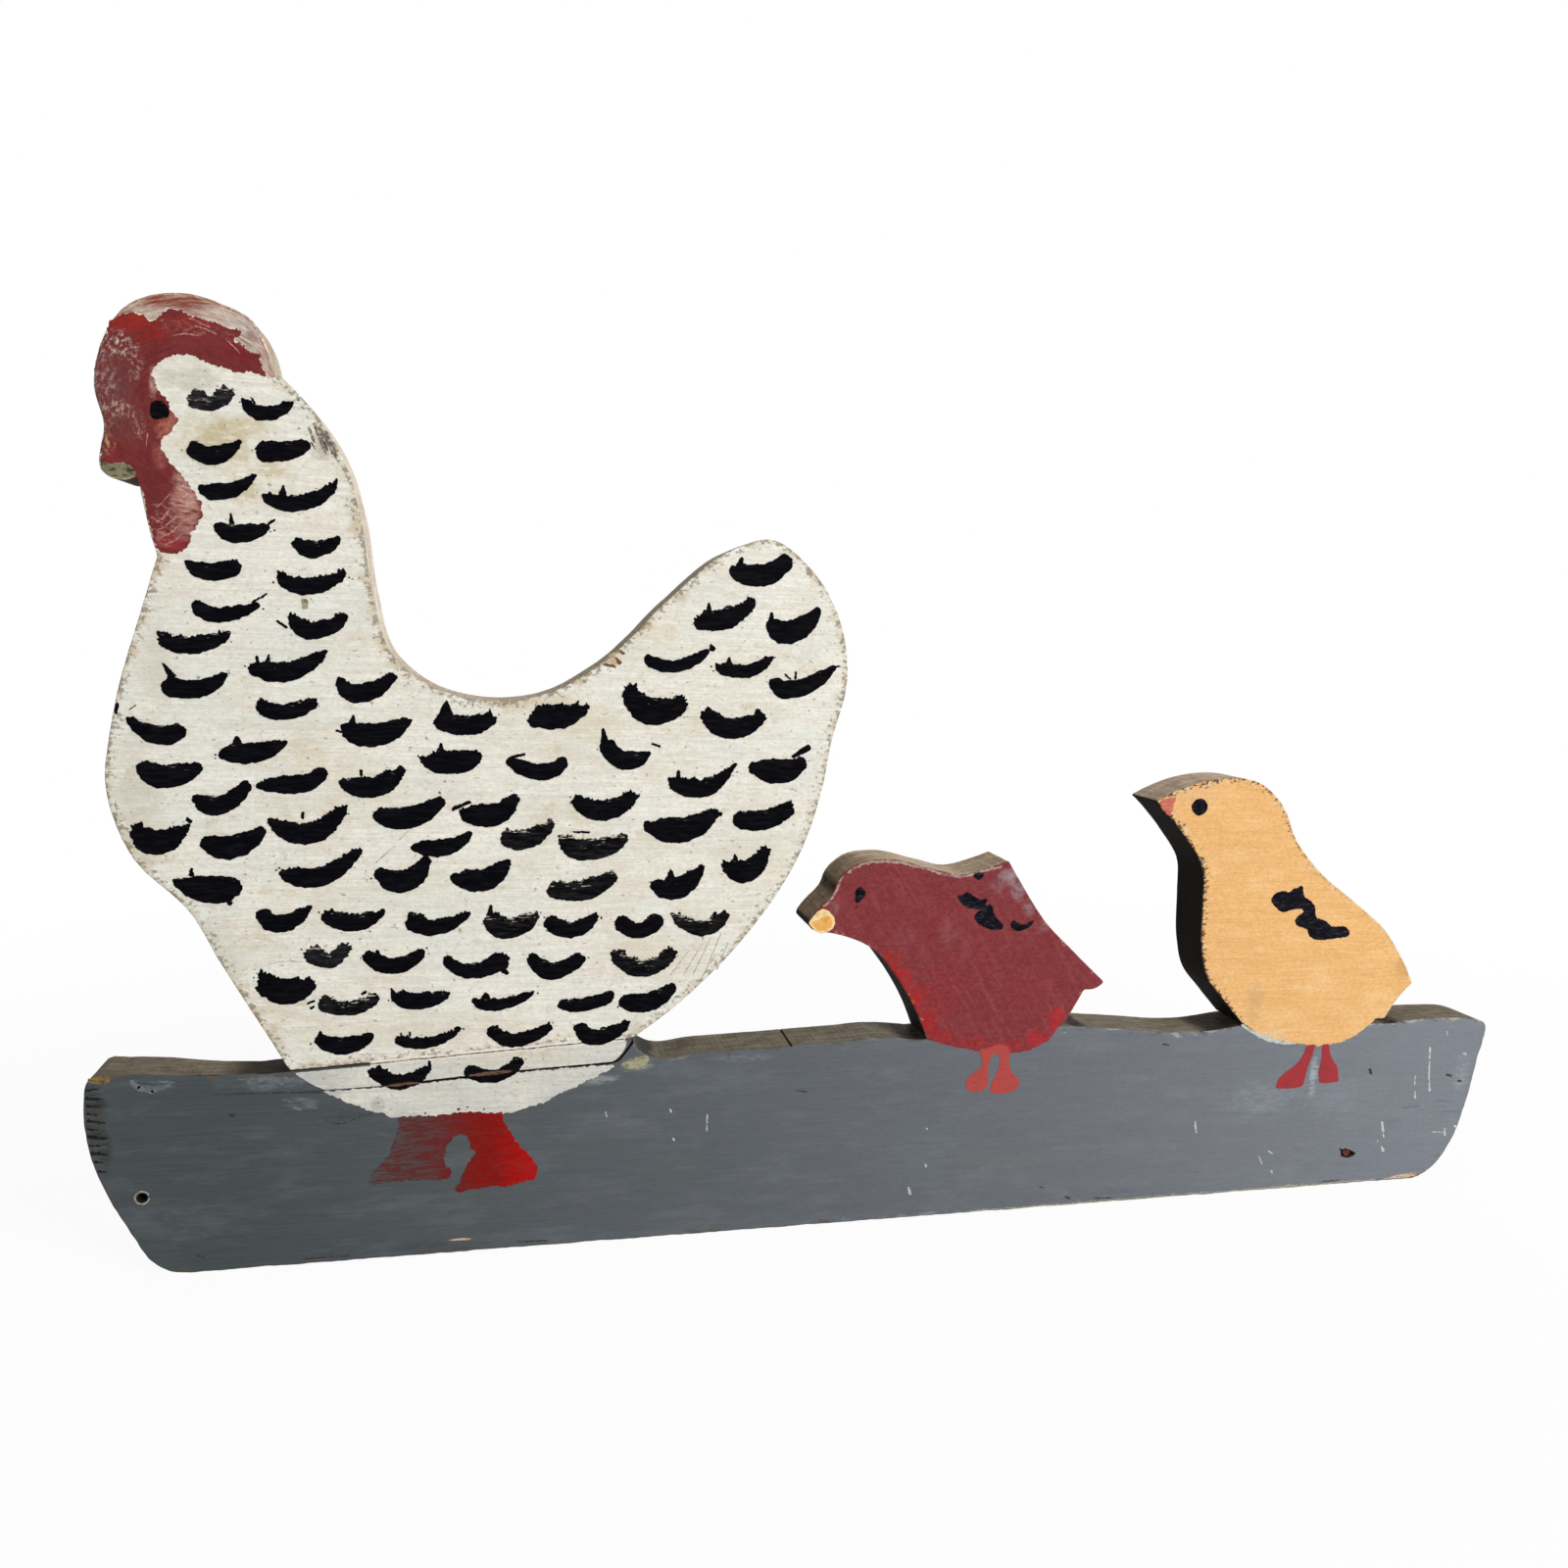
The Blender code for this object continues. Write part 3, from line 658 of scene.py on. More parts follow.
def slatePaint():
    # slate grey oil paint, pulled out along the board: the eye sees fine lines along X, a flat sheen, and
    # greener paint that darkens to the left, a painted shade where the light falls off
    look = {"left": "#454B4E", "right": "#7B8089", "pale": "#9BA1A9", "dark": "#33373A", "green": "#5D615E",
            "edgeWood": "#5A5144", "edgePale": "#ABA9A3", "roughness": 0.6,
            "shadedSide": (-0.25, 0.28), "wornSide": (-0.05, 0.12),    # from and to these X in metres
            "spots": [(-283, 75, 9, 3, "#6C767D", 0.6), (-240, 74, 15, 3.5, "#727B82", 0.7),
                      (-230, 65, 7, 3, "#6F787E", 0.6), (-214, 59, 12, 4, "#3B4043", 0.5),
                      (-301.6, 63, 5, 15, "#33332F", 0.9), (-298, 50, 3, 9, "#2E2E2B", 0.8),
                      (-300, 69, 4, 2.2, "#23221D", 0.8), (-299.6, 56, 3.6, 1.8, "#22211D", 0.8),
                      (-299.5, 77.6, 5, 1.9, "#6A5B3E", 0.95), (-104, 74.5, 7, 3.6, "#ABAA96", 0.8),
                      (-88, 77.5, 7, 2.4, "#A3A49B", 0.65), (-120, 69, 9, 2.6, "#9EA3A5", 0.6),
                      (-60, 75.5, 16, 2.4, "#858B90", 0.4), (186, 46, 22, 10, "#8E949E", 0.5),
                      (222, 44, 22, 12, "#8B919B", 0.4), (211.6, 55, 2.4, 11, "#A9B2B6", 0.85),
                      (58, 24, 36, 11, "#6B6F6A", 0.45), (22, 30, 18, 20, "#6C7479", 0.4),
                      (-80, 28, 34, 20, "#565C5E", 0.4), (-190, 3, 40, 2.6, "#3E4244", 0.6),
                      (95, 5, 44, 4.5, "#61666C", 0.5), (294, 52, 5, 12, "#9AA2AA", 0.5)]}
    material, tree, surface, place = startMaterial("slate grey board paint, brushed along",
                                                   look["roughness"], 0.12)
    spot = addNode(tree, "SeparateXYZ", {"Vector": place})
    # painted shade: the colour darkens from right to left along X, in place of the light falling off to the
    # left
    across, rightward = (
        addNode(tree, "MapRange", {"From Min": start, "From Max": end, "Value": spot.outputs["X"]})
        for start, end in (look["shadedSide"], look["wornSide"]))
    frayed = patches(tree, place, (9, 8, 3), 0, 1, 6, 0.72, (2, 7, 4))
    ragged = patches(tree, place, (5, 8, 1.1), 0.4, 0.54, 6, 0.74, (1, 2, 4))
    streak = patches(tree, place, (22, 20, 0.6), 0.38, 0.66, 5, 0.68)
    fine = patches(tree, place, (2.2, 2, 0.9), 0.34, 0.7, 4, 0.66)
    colour = layered(tree, look["left"], [(look["right"], 1.0, across)])
    colour = blotted(tree, place, colour, look["spots"], frayed, 2, ragged)
    colour = layered(tree, colour, [
        (look["pale"], 0.16, patches(tree, place, (30, 20, 8), 0.5, 0.75, 6, 0.68, (2, 7, 4))),
        (look["pale"], 0.05, streak),
        (look["dark"], 0.07, patches(tree, place, (18, 20, 0.9), 0.5, 0.7, 5, 0.68, (4, 4, 4))),
        (look["green"], 0.25, patches(tree, place, (24, 20, 6), 0.58, 0.72, 4, 0.6, (8, 1, 2))),
        (look["dark"], 0.12, fine),
        (look["dark"], 0.5, patches(tree, place, (1.2, 1, 0.9), 0.73, 0.77, 2, 0.5, (2, 3, 3))),
        (look["edgeWood"], 0.8, rimMask(tree, place, (7, 6, 3), 0.3, 0.74, 0.82, (1, 2, 9))),
        (look["edgePale"], 0.75, rimMask(tree, place, (9, 5, 3), 0.3, 0.76, 0.82, (7, 2, 5)), rightward)])
    dressSurface(tree, surface, colour, 0.1, (streak, 0.6), (fine, 0.4))
    return material


def barnRedPaint():
    # barn red oil paint, scrubbed on thin: bright where it is thick at the breast and belly, lavender where
    # it is worn, with slanting brush lines that catch the light
    look = {"paint": "#823336", "dark": "#63242A", "light": "#9A5053", "edgeWood": "#A89078",
            "roughness": 0.6, "brushSlant": -58,    # degrees
            "bright": [(1, 114, 6, 7, "#A02220", 0.95), (6, 106, 7, 8, "#AE1C19", 0.95),
                       (12, 98, 8, 8, "#B01A18", 1.0), (18, 89, 8, 8, "#AC1B1B", 1.0),
                       (25, 82, 9, 6, "#9C2024", 0.85), (38, 77, 12, 5, "#962428", 0.8),
                       (56, 75, 12, 4, "#A6262A", 0.8), (70, 78, 9, 5, "#B0242A", 0.9),
                       (79, 86, 5, 8, "#B8232A", 0.9), (20, 132, 14, 7, "#8C2F34", 0.45),
                       (36, 112, 16, 12, "#82282E", 0.5), (24, 98, 11, 15, "#8E272C", 0.6),
                       (64, 101, 14, 9, "#8A3036", 0.4)],
            "worn": [(52, 151, 6.5, 3.6, "#A09499", 0.9), (56.5, 145, 4.5, 6, "#93848B", 0.85),
                     (62, 137, 3.5, 4, "#8F7F86", 0.7), (47, 147, 6, 4, "#8C6C72", 0.6),
                     (-24, 138, 2.4, 4, "#8C6E6C", 0.6), (70, 129, 4, 3, "#93757A", 0.5),
                     (88, 123, 7, 4, "#7E4448", 0.5), (6, 126, 5, 7, "#8E4F52", 0.35),
                     (26, 127, 5, 10, "#8F5C62", 0.4), (34, 118, 4, 9, "#8B5258", 0.35)]}
    material, tree, surface, place = startMaterial("barn red paint, scrubbed thin", look["roughness"], 0.12)
    slant = addNode(tree, "Mapping", {"Rotation": (0, math.radians(look["brushSlant"]), 0), "Vector": place})
    streak = patches(tree, place, (12, 16, 0.7), 0.38, 0.68, 5, 0.68)
    mottle = patches(tree, place, (1.6, 2, 1.2), 0.44, 0.7, 4, 0.72, (1, 1, 6))
    frayed = patches(tree, place, (5, 6, 4), 0, 1, shift=(4, 1, 1))
    ragged = patches(tree, place, (3.4, 5, 2.2), 0.32, 0.54, 5, 0.72, (7, 1, 3))
    colour = layered(tree, look["paint"], [
        (look["dark"], 0.45, streak),
        (look["light"], 0.45, patches(tree, slant, (20, 8, 2.2), 0.5, 0.7, 5, 0.65, (3, 3, 3)))])
    colour = blotted(tree, place, colour, look["bright"] + look["worn"], frayed, 2, ragged)
    colour = layered(tree, colour, [
        (look["light"], 0.4, mottle),
        (look["dark"], 0.5, patches(tree, place, (2.4, 2, 1.6), 0.48, 0.66, shift=(8, 1, 2))),
        (look["edgeWood"], 0.6, rimMask(tree, place, (3.0, 4, 2.0), 0.24, 0.74, 0.8, (1, 2, 9)))])
    dressSurface(tree, surface, colour, 0.18, (streak, 0.5), (mottle, 0.5))
    return material


def strawPaint():
    # straw yellow oil paint in one flat coat: the eye sees its brush lines, a dull sheen, and brown chips
    # round the edge, fewer on its right, which was handled less
    look = {"paint": "#F0BF81", "deep": "#CE985A", "pale": "#F4CB97", "grime": "#7A5A36",
            "edgeWood": "#4A331E", "chalk": "#DDD0B4", "roughness": 0.62,
            "handledFrom": 0.22, "handledTo": 0.17,    # X in metres
            "spots": [(138, 186, 12, 4, "#DDB98C", 0.5), (186, 75.5, 14, 3, "#E0CFAE", 0.45),
                      (176, 92, 6, 12, "#CBA878", 0.5), (254, 106, 6, 7, "#C99B5E", 0.6),
                      (150, 165, 8, 12, "#E2AE70", 0.45)]}
    material, tree, surface, place = startMaterial("straw yellow paint, flat coat", look["roughness"], 0.12)
    streak = patches(tree, place, (18, 20, 0.75), 0.4, 0.68, 5, 0.68)
    mottle = patches(tree, place, (1.5, 2, 1.1), 0.42, 0.68, 4, 0.72, (1, 1, 6))
    frayed = patches(tree, place, (5, 6, 4), 0, 1, shift=(4, 1, 1))
    spot = addNode(tree, "SeparateXYZ", {"Vector": place})
    handled = addNode(tree, "MapRange", {"From Min": look["handledFrom"], "From Max": look["handledTo"],
                                         "To Min": 0.25, "Value": spot.outputs["X"]})
    colour = layered(tree, look["paint"], [
        (look["deep"], 0.45, streak),
        (look["pale"], 0.6, patches(tree, place, (18, 18, 7), 0.5, 0.72, 4, 0.6, (3, 3, 8)))])
    colour = blotted(tree, place, colour, look["spots"], frayed, 2)
    colour = layered(tree, colour, [
        (look["deep"], 0.5, mottle),
        (look["grime"], 0.5, patches(tree, place, (1.1, 1, 0.9), 0.71, 0.76, 2, 0.5, (2, 3, 3))),
        (look["chalk"], 0.6, rimMask(tree, place, (4, 4, 3), 0.2, 0.64, 0.74, (6, 6, 2))),
        (look["edgeWood"], 0.9, rimMask(tree, place, (1.5, 2, 1.1), 0.26, 0.675, 0.73, (1, 2, 9)), handled)])
    dressSurface(tree, surface, colour, 0.2, (streak, 0.5), (mottle, 0.5))
    return material


def weatheredShadedEdge(name, look):
    # sawn edge of an old pine board: dull, with saw lines across its thickness and dirt in patches, so the
    # eye reads end grain and dust; the sides that face left or down get painted shade and are nearly black
    material, tree, surface, place = startMaterial(name, 0.85, 0.12)
    along = addNode(tree, "Attribute", {"attribute_name": "along"}).outputs["Fac"]
    spot = addNode(tree, "SeparateXYZ", {"Vector": place})
    length = addNode(tree, "Math", {"operation": "MULTIPLY", 0: along, 1: mm})
    line = addNode(tree, "CombineXYZ", {"X": length, "Y": spot.outputs["Y"]})
    saw = patches(tree, line, (1.2, 30, 1), 0.4, 0.7, 4, 0.6)
    grain = patches(tree, place, (22, 2.2, 22), 0.36, 0.66, 5, 0.62, (1, 4, 1))
    dirt = patches(tree, place, (8, 6, 8), 0.42, 0.66, 6, 0.68)
    speck = patches(tree, place, (1.6, 1.6, 1.6), 0.6, 0.68, 4, 0.6, (3, 3, 1))
    colour = layered(tree, look["light"], [
        (look["middle"], 1.0, grain), (look["brown"], look["dirtShare"], dirt),
        (look["deep"], look["sawShare"], saw), (look["deep"], look["speckShare"], speck)])
    # painted shade: faces that turn left or down take the deep colour, nearly black, in place of the shade
    # the lamps leave there
    normal = addNode(tree, "NewGeometry", {}).outputs["Normal"]
    facing = addNode(tree, "SeparateXYZ", {"Vector": normal})
    leftShade, underShade, level = (
        addNode(tree, "MapRange", {"From Min": start, "From Max": end, "Value": facing.outputs[axis]})
        for axis, start, end in (("X", -0.45, -0.85), ("Z", 0.1, -0.5), ("Z", 0.6, 0.3)))
    colour = layered(tree, colour, [(look["deep"], 1.0, leftShade, level), (look["deep"], 1.0, underShade)])
    colour = blotted(tree, place, colour, look.get("spots", ()), grain, 0.5, dirt)
    fray = 4 * mm
    for x, reach in look.get("feet", ()):    # painted shade and dirt where a bird's foot meets the base
        away = addNode(tree, "Math", {"operation": "SUBTRACT", 0: spot.outputs["X"], 1: x * mm})
        away = addNode(tree, "Math", {"operation": "ABSOLUTE", 0: away})
        away = addNode(tree, "Math", {"operation": "MULTIPLY_ADD", 0: dirt, 1: fray, 2: away})
        near = addNode(tree, "MapRange", {"From Min": reach * mm, "From Max": reach * 0.5 * mm,
                                          "Value": away})
        colour = layered(tree, colour, [(look["deep"], 1.0, near)])
    dressSurface(tree, surface, colour, 0.35, (saw, 0.5), (grain, 0.5))
    return material


def bareBoard():
    # unpainted back of an old planed pine board: pale early wood between thin brown lines of late wood,
    # a few knots, and the grime of years, darker towards the edges, that keeps it from shining
    look = {"early": "#B2936A", "late": "#8A6641", "dust": "#8E8372", "stain": "#6E553B", "knot": "#5A3B22",
            "ringScale": (3, 40, 200), "ringBend": 5.0,
            "knots": [(-168, 122, 9, 6), (-60, 214, 6, 5), (118, 30, 8, 5), (-232, 46, 5, 4),
                      (212, 118, 4, 3)]}
    material, tree, surface, place = startMaterial("bare old pine, planed", 0.78, 0.2)
    warp = patches(tree, place, (120, 60, 22), 0.2, 0.8, 3, 0.5)
    rings = addNode(tree, "Mapping", {"Scale": look["ringScale"], "Vector": place})
    bend = addNode(tree, "Math", {"operation": "MULTIPLY", 0: warp, 1: look["ringBend"]})
    push = addNode(tree, "CombineXYZ", {"Z": bend})
    bent = addNode(tree, "VectorMath", {"operation": "ADD", 0: rings, 1: push})
    lines = addNode(tree, "TexNoise", {"Scale": 1.0, "Detail": 3.0, "Roughness": 0.5, "Vector": bent})
    late = addNode(tree, "MapRange", {"From Min": 0.47, "From Max": 0.6, "Value": lines})
    fibre = patches(tree, place, (30, 8, 0.7), 0.36, 0.7, 5, 0.62)
    grime = rimMask(tree, place, (24, 20, 16), 0.16, 0.5, 0.8, (2, 2, 2))
    frayed = patches(tree, place, (9, 8, 3), 0, 1, shift=(4, 1, 1))
    colour = layered(tree, look["early"], [
        (look["late"], 0.85, late), (look["stain"], 0.5, fibre),
        (look["dust"], 0.5, patches(tree, place, (46, 30, 26), 0.45, 0.72, 5, 0.6, (3, 1, 3))),
        (look["stain"], 0.7, grime)])
    colour = blotted(tree, place, colour, [(*knot, look["knot"], 0.9) for knot in look["knots"]], frayed, 2)
    dressSurface(tree, surface, colour, 0.2, (late, 0.5), (fibre, 0.5))
    return material


def brushedMark(name, paint, showing, share, roughness, sizes, specular=0.08):
    # a mark in one colour over the coat below, which shows in the gaps that the bristles left; share is
    # doubled because gaps and worn seldom meet at full strength
    material, tree, surface, place = startMaterial(name, roughness, specular)
    gaps = patches(tree, place, sizes, 0.46, 0.66, shift=(2, 1, 4))
    worn = patches(tree, place, (3.4, 3, 1.8), 0.4, 0.62, shift=(6, 1, 2))
    colour = layered(tree, paint, [(showing, share * 2, gaps, worn)])
    dressSurface(tree, surface, colour, 0.1, (patches(tree, place, (9, 9, 0.6), 0.3, 0.7, 3, 0.6), 1.0))
    return material


def strokePaint(name, look):
    # black oil paint off a loaded brush: a pool of near black along the bottom of each stroke, broken
    # into bristle lines towards its top, where the cream shows through; matt, so the light leaves it black
    material, tree, surface, place = startMaterial(name, 0.5, 0.03)
    rise = addNode(tree, "Attribute", {"attribute_name": "rise"}).outputs["Fac"]
    bristles = patches(tree, place, (4, 8, 0.8), 0, 1, 5, 0.72, (2, 1, 4))
    pushed = addNode(tree, "Math", {"operation": "MULTIPLY_ADD", 0: rise, 1: look["push"], 2: bristles})
    gaps = addNode(tree, "MapRange", {"From Min": look["gapFrom"], "From Max": look["gapFrom"] + 0.05,
                                      "Value": pushed})
    # sheen: paler grey streaks painted into the colour, a painted highlight of the wet black; in the rubbed
    # grey paint they also make the wear
    sheen = patches(tree, place, (6, 8, 0.9), 0.46, 0.66, shift=(6, 3, 1))
    colour = layered(tree, look["paint"], [(look["sheen"], look["sheenShare"], sheen),
                                           (look["below"], 0.9, gaps)])
    dressSurface(tree, surface, colour, 0.12, (sheen, 0.5), (bristles, 0.5))
    return material


headAt = {"x": -262, "z": 314, "radius": 28}


def roundHead(tree, place, head):
    # coordinates that run round the head and out from it, for brush lines that follow the comb
    middle = (head["x"] * mm, 0, head["z"] * mm)
    off = addNode(tree, "VectorMath", {"operation": "SUBTRACT", 0: place, 1: middle})
    part = addNode(tree, "SeparateXYZ", {"Vector": off})
    angle = addNode(tree, "Math", {"operation": "ARCTAN2", 0: part.outputs["Z"], 1: part.outputs["X"]})
    turned = addNode(tree, "Math", {"operation": "MULTIPLY", 0: angle, 1: head["radius"] * mm})
    out = addNode(tree, "VectorMath", {"operation": "LENGTH", 0: off}).outputs["Value"]
    return addNode(tree, "CombineXYZ", {"X": turned, "Z": out})


def combPaint(name, look):
    # dark red oil paint, rubbed: brush lines round the head, and pinkish grey where the red has gone
    # chalky, so the eye reads the thinnest and most handled paint on the board; pale specks on the face are
    # painted reflection off its glossy bumps
    material, tree, surface, place = startMaterial(name, 0.6, 0.12)
    swept = roundHead(tree, place, headAt)
    line = patches(tree, swept, (9, 8, 1.0), look["lineFrom"], look["lineFrom"] + look["lineSpan"],
                   shift=(2, 2, 6))
    second = patches(tree, swept, (6, 8, 0.9), 0.5, 0.6, 5, 0.72, (7, 3, 1))
    frayed = patches(tree, swept, (5, 5, 3), 0, 1, 5, 0.72, (1, 6, 2))
    ragged = patches(tree, swept, (4, 4, 1.3), 0.36, 0.58, 6, 0.74, (1, 6, 2))
    flecks = patches(tree, swept, look["fleckSizes"], look["fleckFrom"], look["fleckFrom"] + 0.07,
                     shift=(5, 3, 1))
    mottle = patches(tree, place, (1.4, 2, 1.1), 0.42, 0.68, 4, 0.72, (1, 1, 6))
    colour = layered(tree, look["paint"], [(look["dark"], look["lineShare"], line),
                                           (look["second"], look["secondShare"], second)])
    colour = blotted(tree, place, colour, look["spots"], frayed, 2, ragged)
    colour = blotted(tree, place, colour, look["specks"], frayed, 2, flecks)
    colour = layered(tree, colour, [(look["dark"], 0.35, mottle)])
    dressSurface(tree, surface, colour, 0.2, (line, 0.4), (flecks, 0.3), (mottle, 0.3))
    return material


def footPaint():
    # the hen's foot in red oil paint: dull where it was pulled thin over slate at its left, bright where it
    # lies thick at its right
    look = {"thin": "#5E2F2D", "slate": "#4E5457",
            "thinFrom": -0.165, "thinTo": -0.196, "waver": 0.012,    # X in metres
            # each red, and the X in metres from and to which it takes over
            "turns": (("#711F1C", -0.182, -0.168), ("#880D06", -0.168, -0.158), ("#B20A06", -0.154, -0.141))}
    material, tree, surface, place = startMaterial("hen's foot red, thin to the left", 0.55, 0.04)
    spot = addNode(tree, "SeparateXYZ", {"Vector": place})
    waver = patches(tree, place, (6, 8, 3), 0, 1)
    across = addNode(tree, "Math", {"operation": "MULTIPLY_ADD", 0: waver, 1: look["waver"],
                                    2: spot.outputs["X"]})
    colour = look["thin"]
    for hue, start, end in look["turns"]:
        share = addNode(tree, "MapRange", {"From Min": start, "From Max": end, "Value": across})
        colour = layered(tree, colour, [(hue, 1.0, share)])
    gaps = patches(tree, place, (6, 8, 1.0), 0.46, 0.56, 6, 0.74, (2, 1, 4))
    thin = addNode(tree, "MapRange", {"From Min": look["thinFrom"], "From Max": look["thinTo"],
                                      "To Min": 0.1, "To Max": 1.0, "Value": across})
    fine = patches(tree, place, (3, 3, 0.9), 0.42, 0.7, shift=(3, 3, 3))
    colour = layered(tree, colour, [(look["slate"], 1.0, gaps, thin), (look["thin"], 0.45, fine)])
    dressSurface(tree, surface, colour, 0.12, (fine, 1.0))
    return material


def plainMaterial(name, light, dark, roughness, specular, depth, *pattern):
    # dark patches over a light ground, depth mm high
    material, tree, surface, place = startMaterial(name, roughness, specular)
    patch = patches(tree, place, *pattern)
    dressSurface(tree, surface, layered(tree, light, [(dark, 1.0, patch)]), depth, (patch, 1.0))
    return material


def holeWood():
    # pine that a hole laid bare: clean where the screw's head cut it, brown in the nail's pocket, and
    # near black down the bore, painted shade of its depth along with dirt, so the eye reads depth
    look = {"clean": "#B7AD98", "dirty": "#7E735F", "bore": "#17130E", "pocket": "#3A2417",
            "centre": (-0.2862, 0, 0.0312), "boreReach": 0.00185, "boreRim": 0.0003,    # metres
            "pocketFrom": 0.01, "pocketTo": 0.02}
    material, tree, surface, place = startMaterial("pine laid bare in a hole", 0.8, 0.12)
    flat = addNode(tree, "VectorMath", {"operation": "MULTIPLY", 0: place, 1: (1, 0, 1)})
    away = addNode(tree, "VectorMath",
                   {"operation": "DISTANCE", 0: flat, 1: look["centre"]}).outputs["Value"]
    # painted shade: the bore darkens to near black
    bore = addNode(tree, "MapRange", {"From Min": look["boreReach"] + look["boreRim"],
                                      "From Max": look["boreReach"], "Value": away})
    pocket = addNode(tree, "MapRange", {"From Min": look["pocketFrom"], "From Max": look["pocketTo"],
                                        "Value": away})
    patch = patches(tree, place, (1.6, 1.6, 1.6), 0.4, 0.7, 4, 0.6)
    colour = layered(tree, look["clean"], [(look["dirty"], 1.0, patch), (look["pocket"], 1.0, pocket),
                                           (look["bore"], 1.0, bore)])
    dressSurface(tree, surface, colour, 0.15, (patch, 1.0))
    return material


cream = creamPaint("aged cream paint, brushed on thin", {
    "paint": "#F3F1E9", "cool": "#EBEEE7", "warm": "#DBCCB0", "streak": "#D0CABC",
    "rimTan": "#C8B494", "rimDirt": "#857A68", "fleck": "#6E6250", "roughness": 0.66,
    "spots": [(-255, 306, 13, 11, "#BDAA74", 0.9), (-248, 290, 9, 6, "#C4B07C", 0.85),
              (-244, 313, 9, 6, "#C8B789", 0.7), (-263, 327, 13, 6, "#BFC0B4", 0.75),
              (-237, 299, 8, 5, "#C6B383", 0.8), (-284, 175, 9, 40, "#C4BCA8", 0.6),
              (-276, 230, 7, 26, "#C8C0AD", 0.55), (-258, 120, 9, 26, "#C9BDA4", 0.5),
              (-190, 92, 52, 8, "#DCD0BA", 0.6), (-150, 221, 26, 7, "#DACDB2", 0.7),
              (-128, 214, 16, 10, "#DBCDAC", 0.55), (-96, 118, 26, 14, "#E2D5C3", 0.6),
              (-60, 165, 20, 24, "#E1D6C1", 0.45), (-210, 185, 22, 12, "#E0D5BC", 0.45),
              (-112, 150, 18, 12, "#E3D8C8", 0.45), (-117, 236.4, 5, 2.8, "#BE9C76", 0.95),
              (-220.6, 309.6, 5, 7, "#8F8779", 0.85), (-224, 240, 9, 12, "#DFE2DA", 0.6),
              (-240, 88, 5, 9, "#A98C68", 0.75), (-105, 86, 6, 8, "#B9B199", 0.6),
              (-288, 293.6, 8, 4, "#5A563A", 1.0), (-296, 322, 3.4, 24, "#6A4A42", 1.0),
              (-292, 343, 5, 7, "#7A4840", 1.0), (-280.4, 279, 3, 14, "#6F3A33", 1.0),
              (-266, 356, 26, 2.4, "#9C7565", 0.95)]})
lappedCream = creamPaint("cream paint, lapped thin over slate", {
    "paint": "#E6E3D9", "cool": "#DADBD6", "warm": "#E0D8C6", "streak": "#BDBDB6",
    "rimTan": "#BFA57E", "rimDirt": "#7F735F", "fleck": "#6E6250", "roughness": 0.66,
    "spots": [(-222, 75, 13, 4, "#B9BDBD", 0.8), (-222, 69, 10, 2.4, "#A7ACAE", 0.7),
              (-195, 58, 14, 2.2, "#A9AEB0", 0.6), (-160, 79, 40, 3.4, "#DFD7C6", 0.7),
              (-135, 62.6, 12, 2.2, "#A3A8AA", 0.6), (-203, 63, 3, 4, "#9FA3A3", 0.6)]})
slate = slatePaint()
barnRed = barnRedPaint()
straw = strawPaint()
henEdge = weatheredShadedEdge("hen's sawn pine edge, paint-smeared, painted shade", {
    "light": "#D6CBBB", "middle": "#BFB09A", "brown": "#8F785B", "deep": "#4A3B2A",
    "dirtShare": 0.7, "sawShare": 0.35, "speckShare": 0.7,
    "spots": [(-266, 354, 34, 12, "#B27F70", 0.85), (-292, 322, 8, 26, "#6E4A40", 0.85),
              (-286, 291, 9, 5, "#4E4B30", 0.95), (-279, 280, 6, 16, "#7A4038", 0.7),
              (-216, 262, 14, 40, "#EAE4DA", 0.95), (-226, 306, 10, 24, "#E0D8CB", 0.8)]})
baseEdge = weatheredShadedEdge("base board's sawn pine edge, weathered, painted shade", {
    "light": "#857D6C", "middle": "#675F4F", "brown": "#524736", "deep": "#21180E",
    "dirtShare": 0.75, "sawShare": 0.16, "speckShare": 0.5,
    # painted shade and dirt on the base beside each bird: X and reach in mm
    "feet": [(-243, 17), (-101, 7), (13, 9), (90, 6), (161, 13), (252, 7)]})
redEdge = weatheredShadedEdge("red chick's sawn pine edge, weathered, painted shade", {
    "light": "#CBB79D", "middle": "#AF9A7C", "brown": "#846F54", "deep": "#15100B",
    "dirtShare": 0.65, "sawShare": 0.35, "speckShare": 0.5,
    "spots": [(-17, 152, 12, 8, "#8A7658", 0.8)]})
yellowEdge = weatheredShadedEdge("yellow chick's sawn pine edge, weathered, painted shade", {
    "light": "#DAC2A9", "middle": "#BFA78F", "brown": "#8C7962", "deep": "#130F0B",
    "dirtShare": 0.6, "sawShare": 0.35, "speckShare": 0.5})
oldBack = bareBoard()
bareHole = holeWood()
# turned dowel: pale and smooth, its grain runs up the dowel
birch = plainMaterial("birch dowel, turned", "#C6A57E", "#9C7A54", 0.6, 0.4, 0.08,
                      (1.2, 1.2, 14), 0.35, 0.7, 4, 0.6)
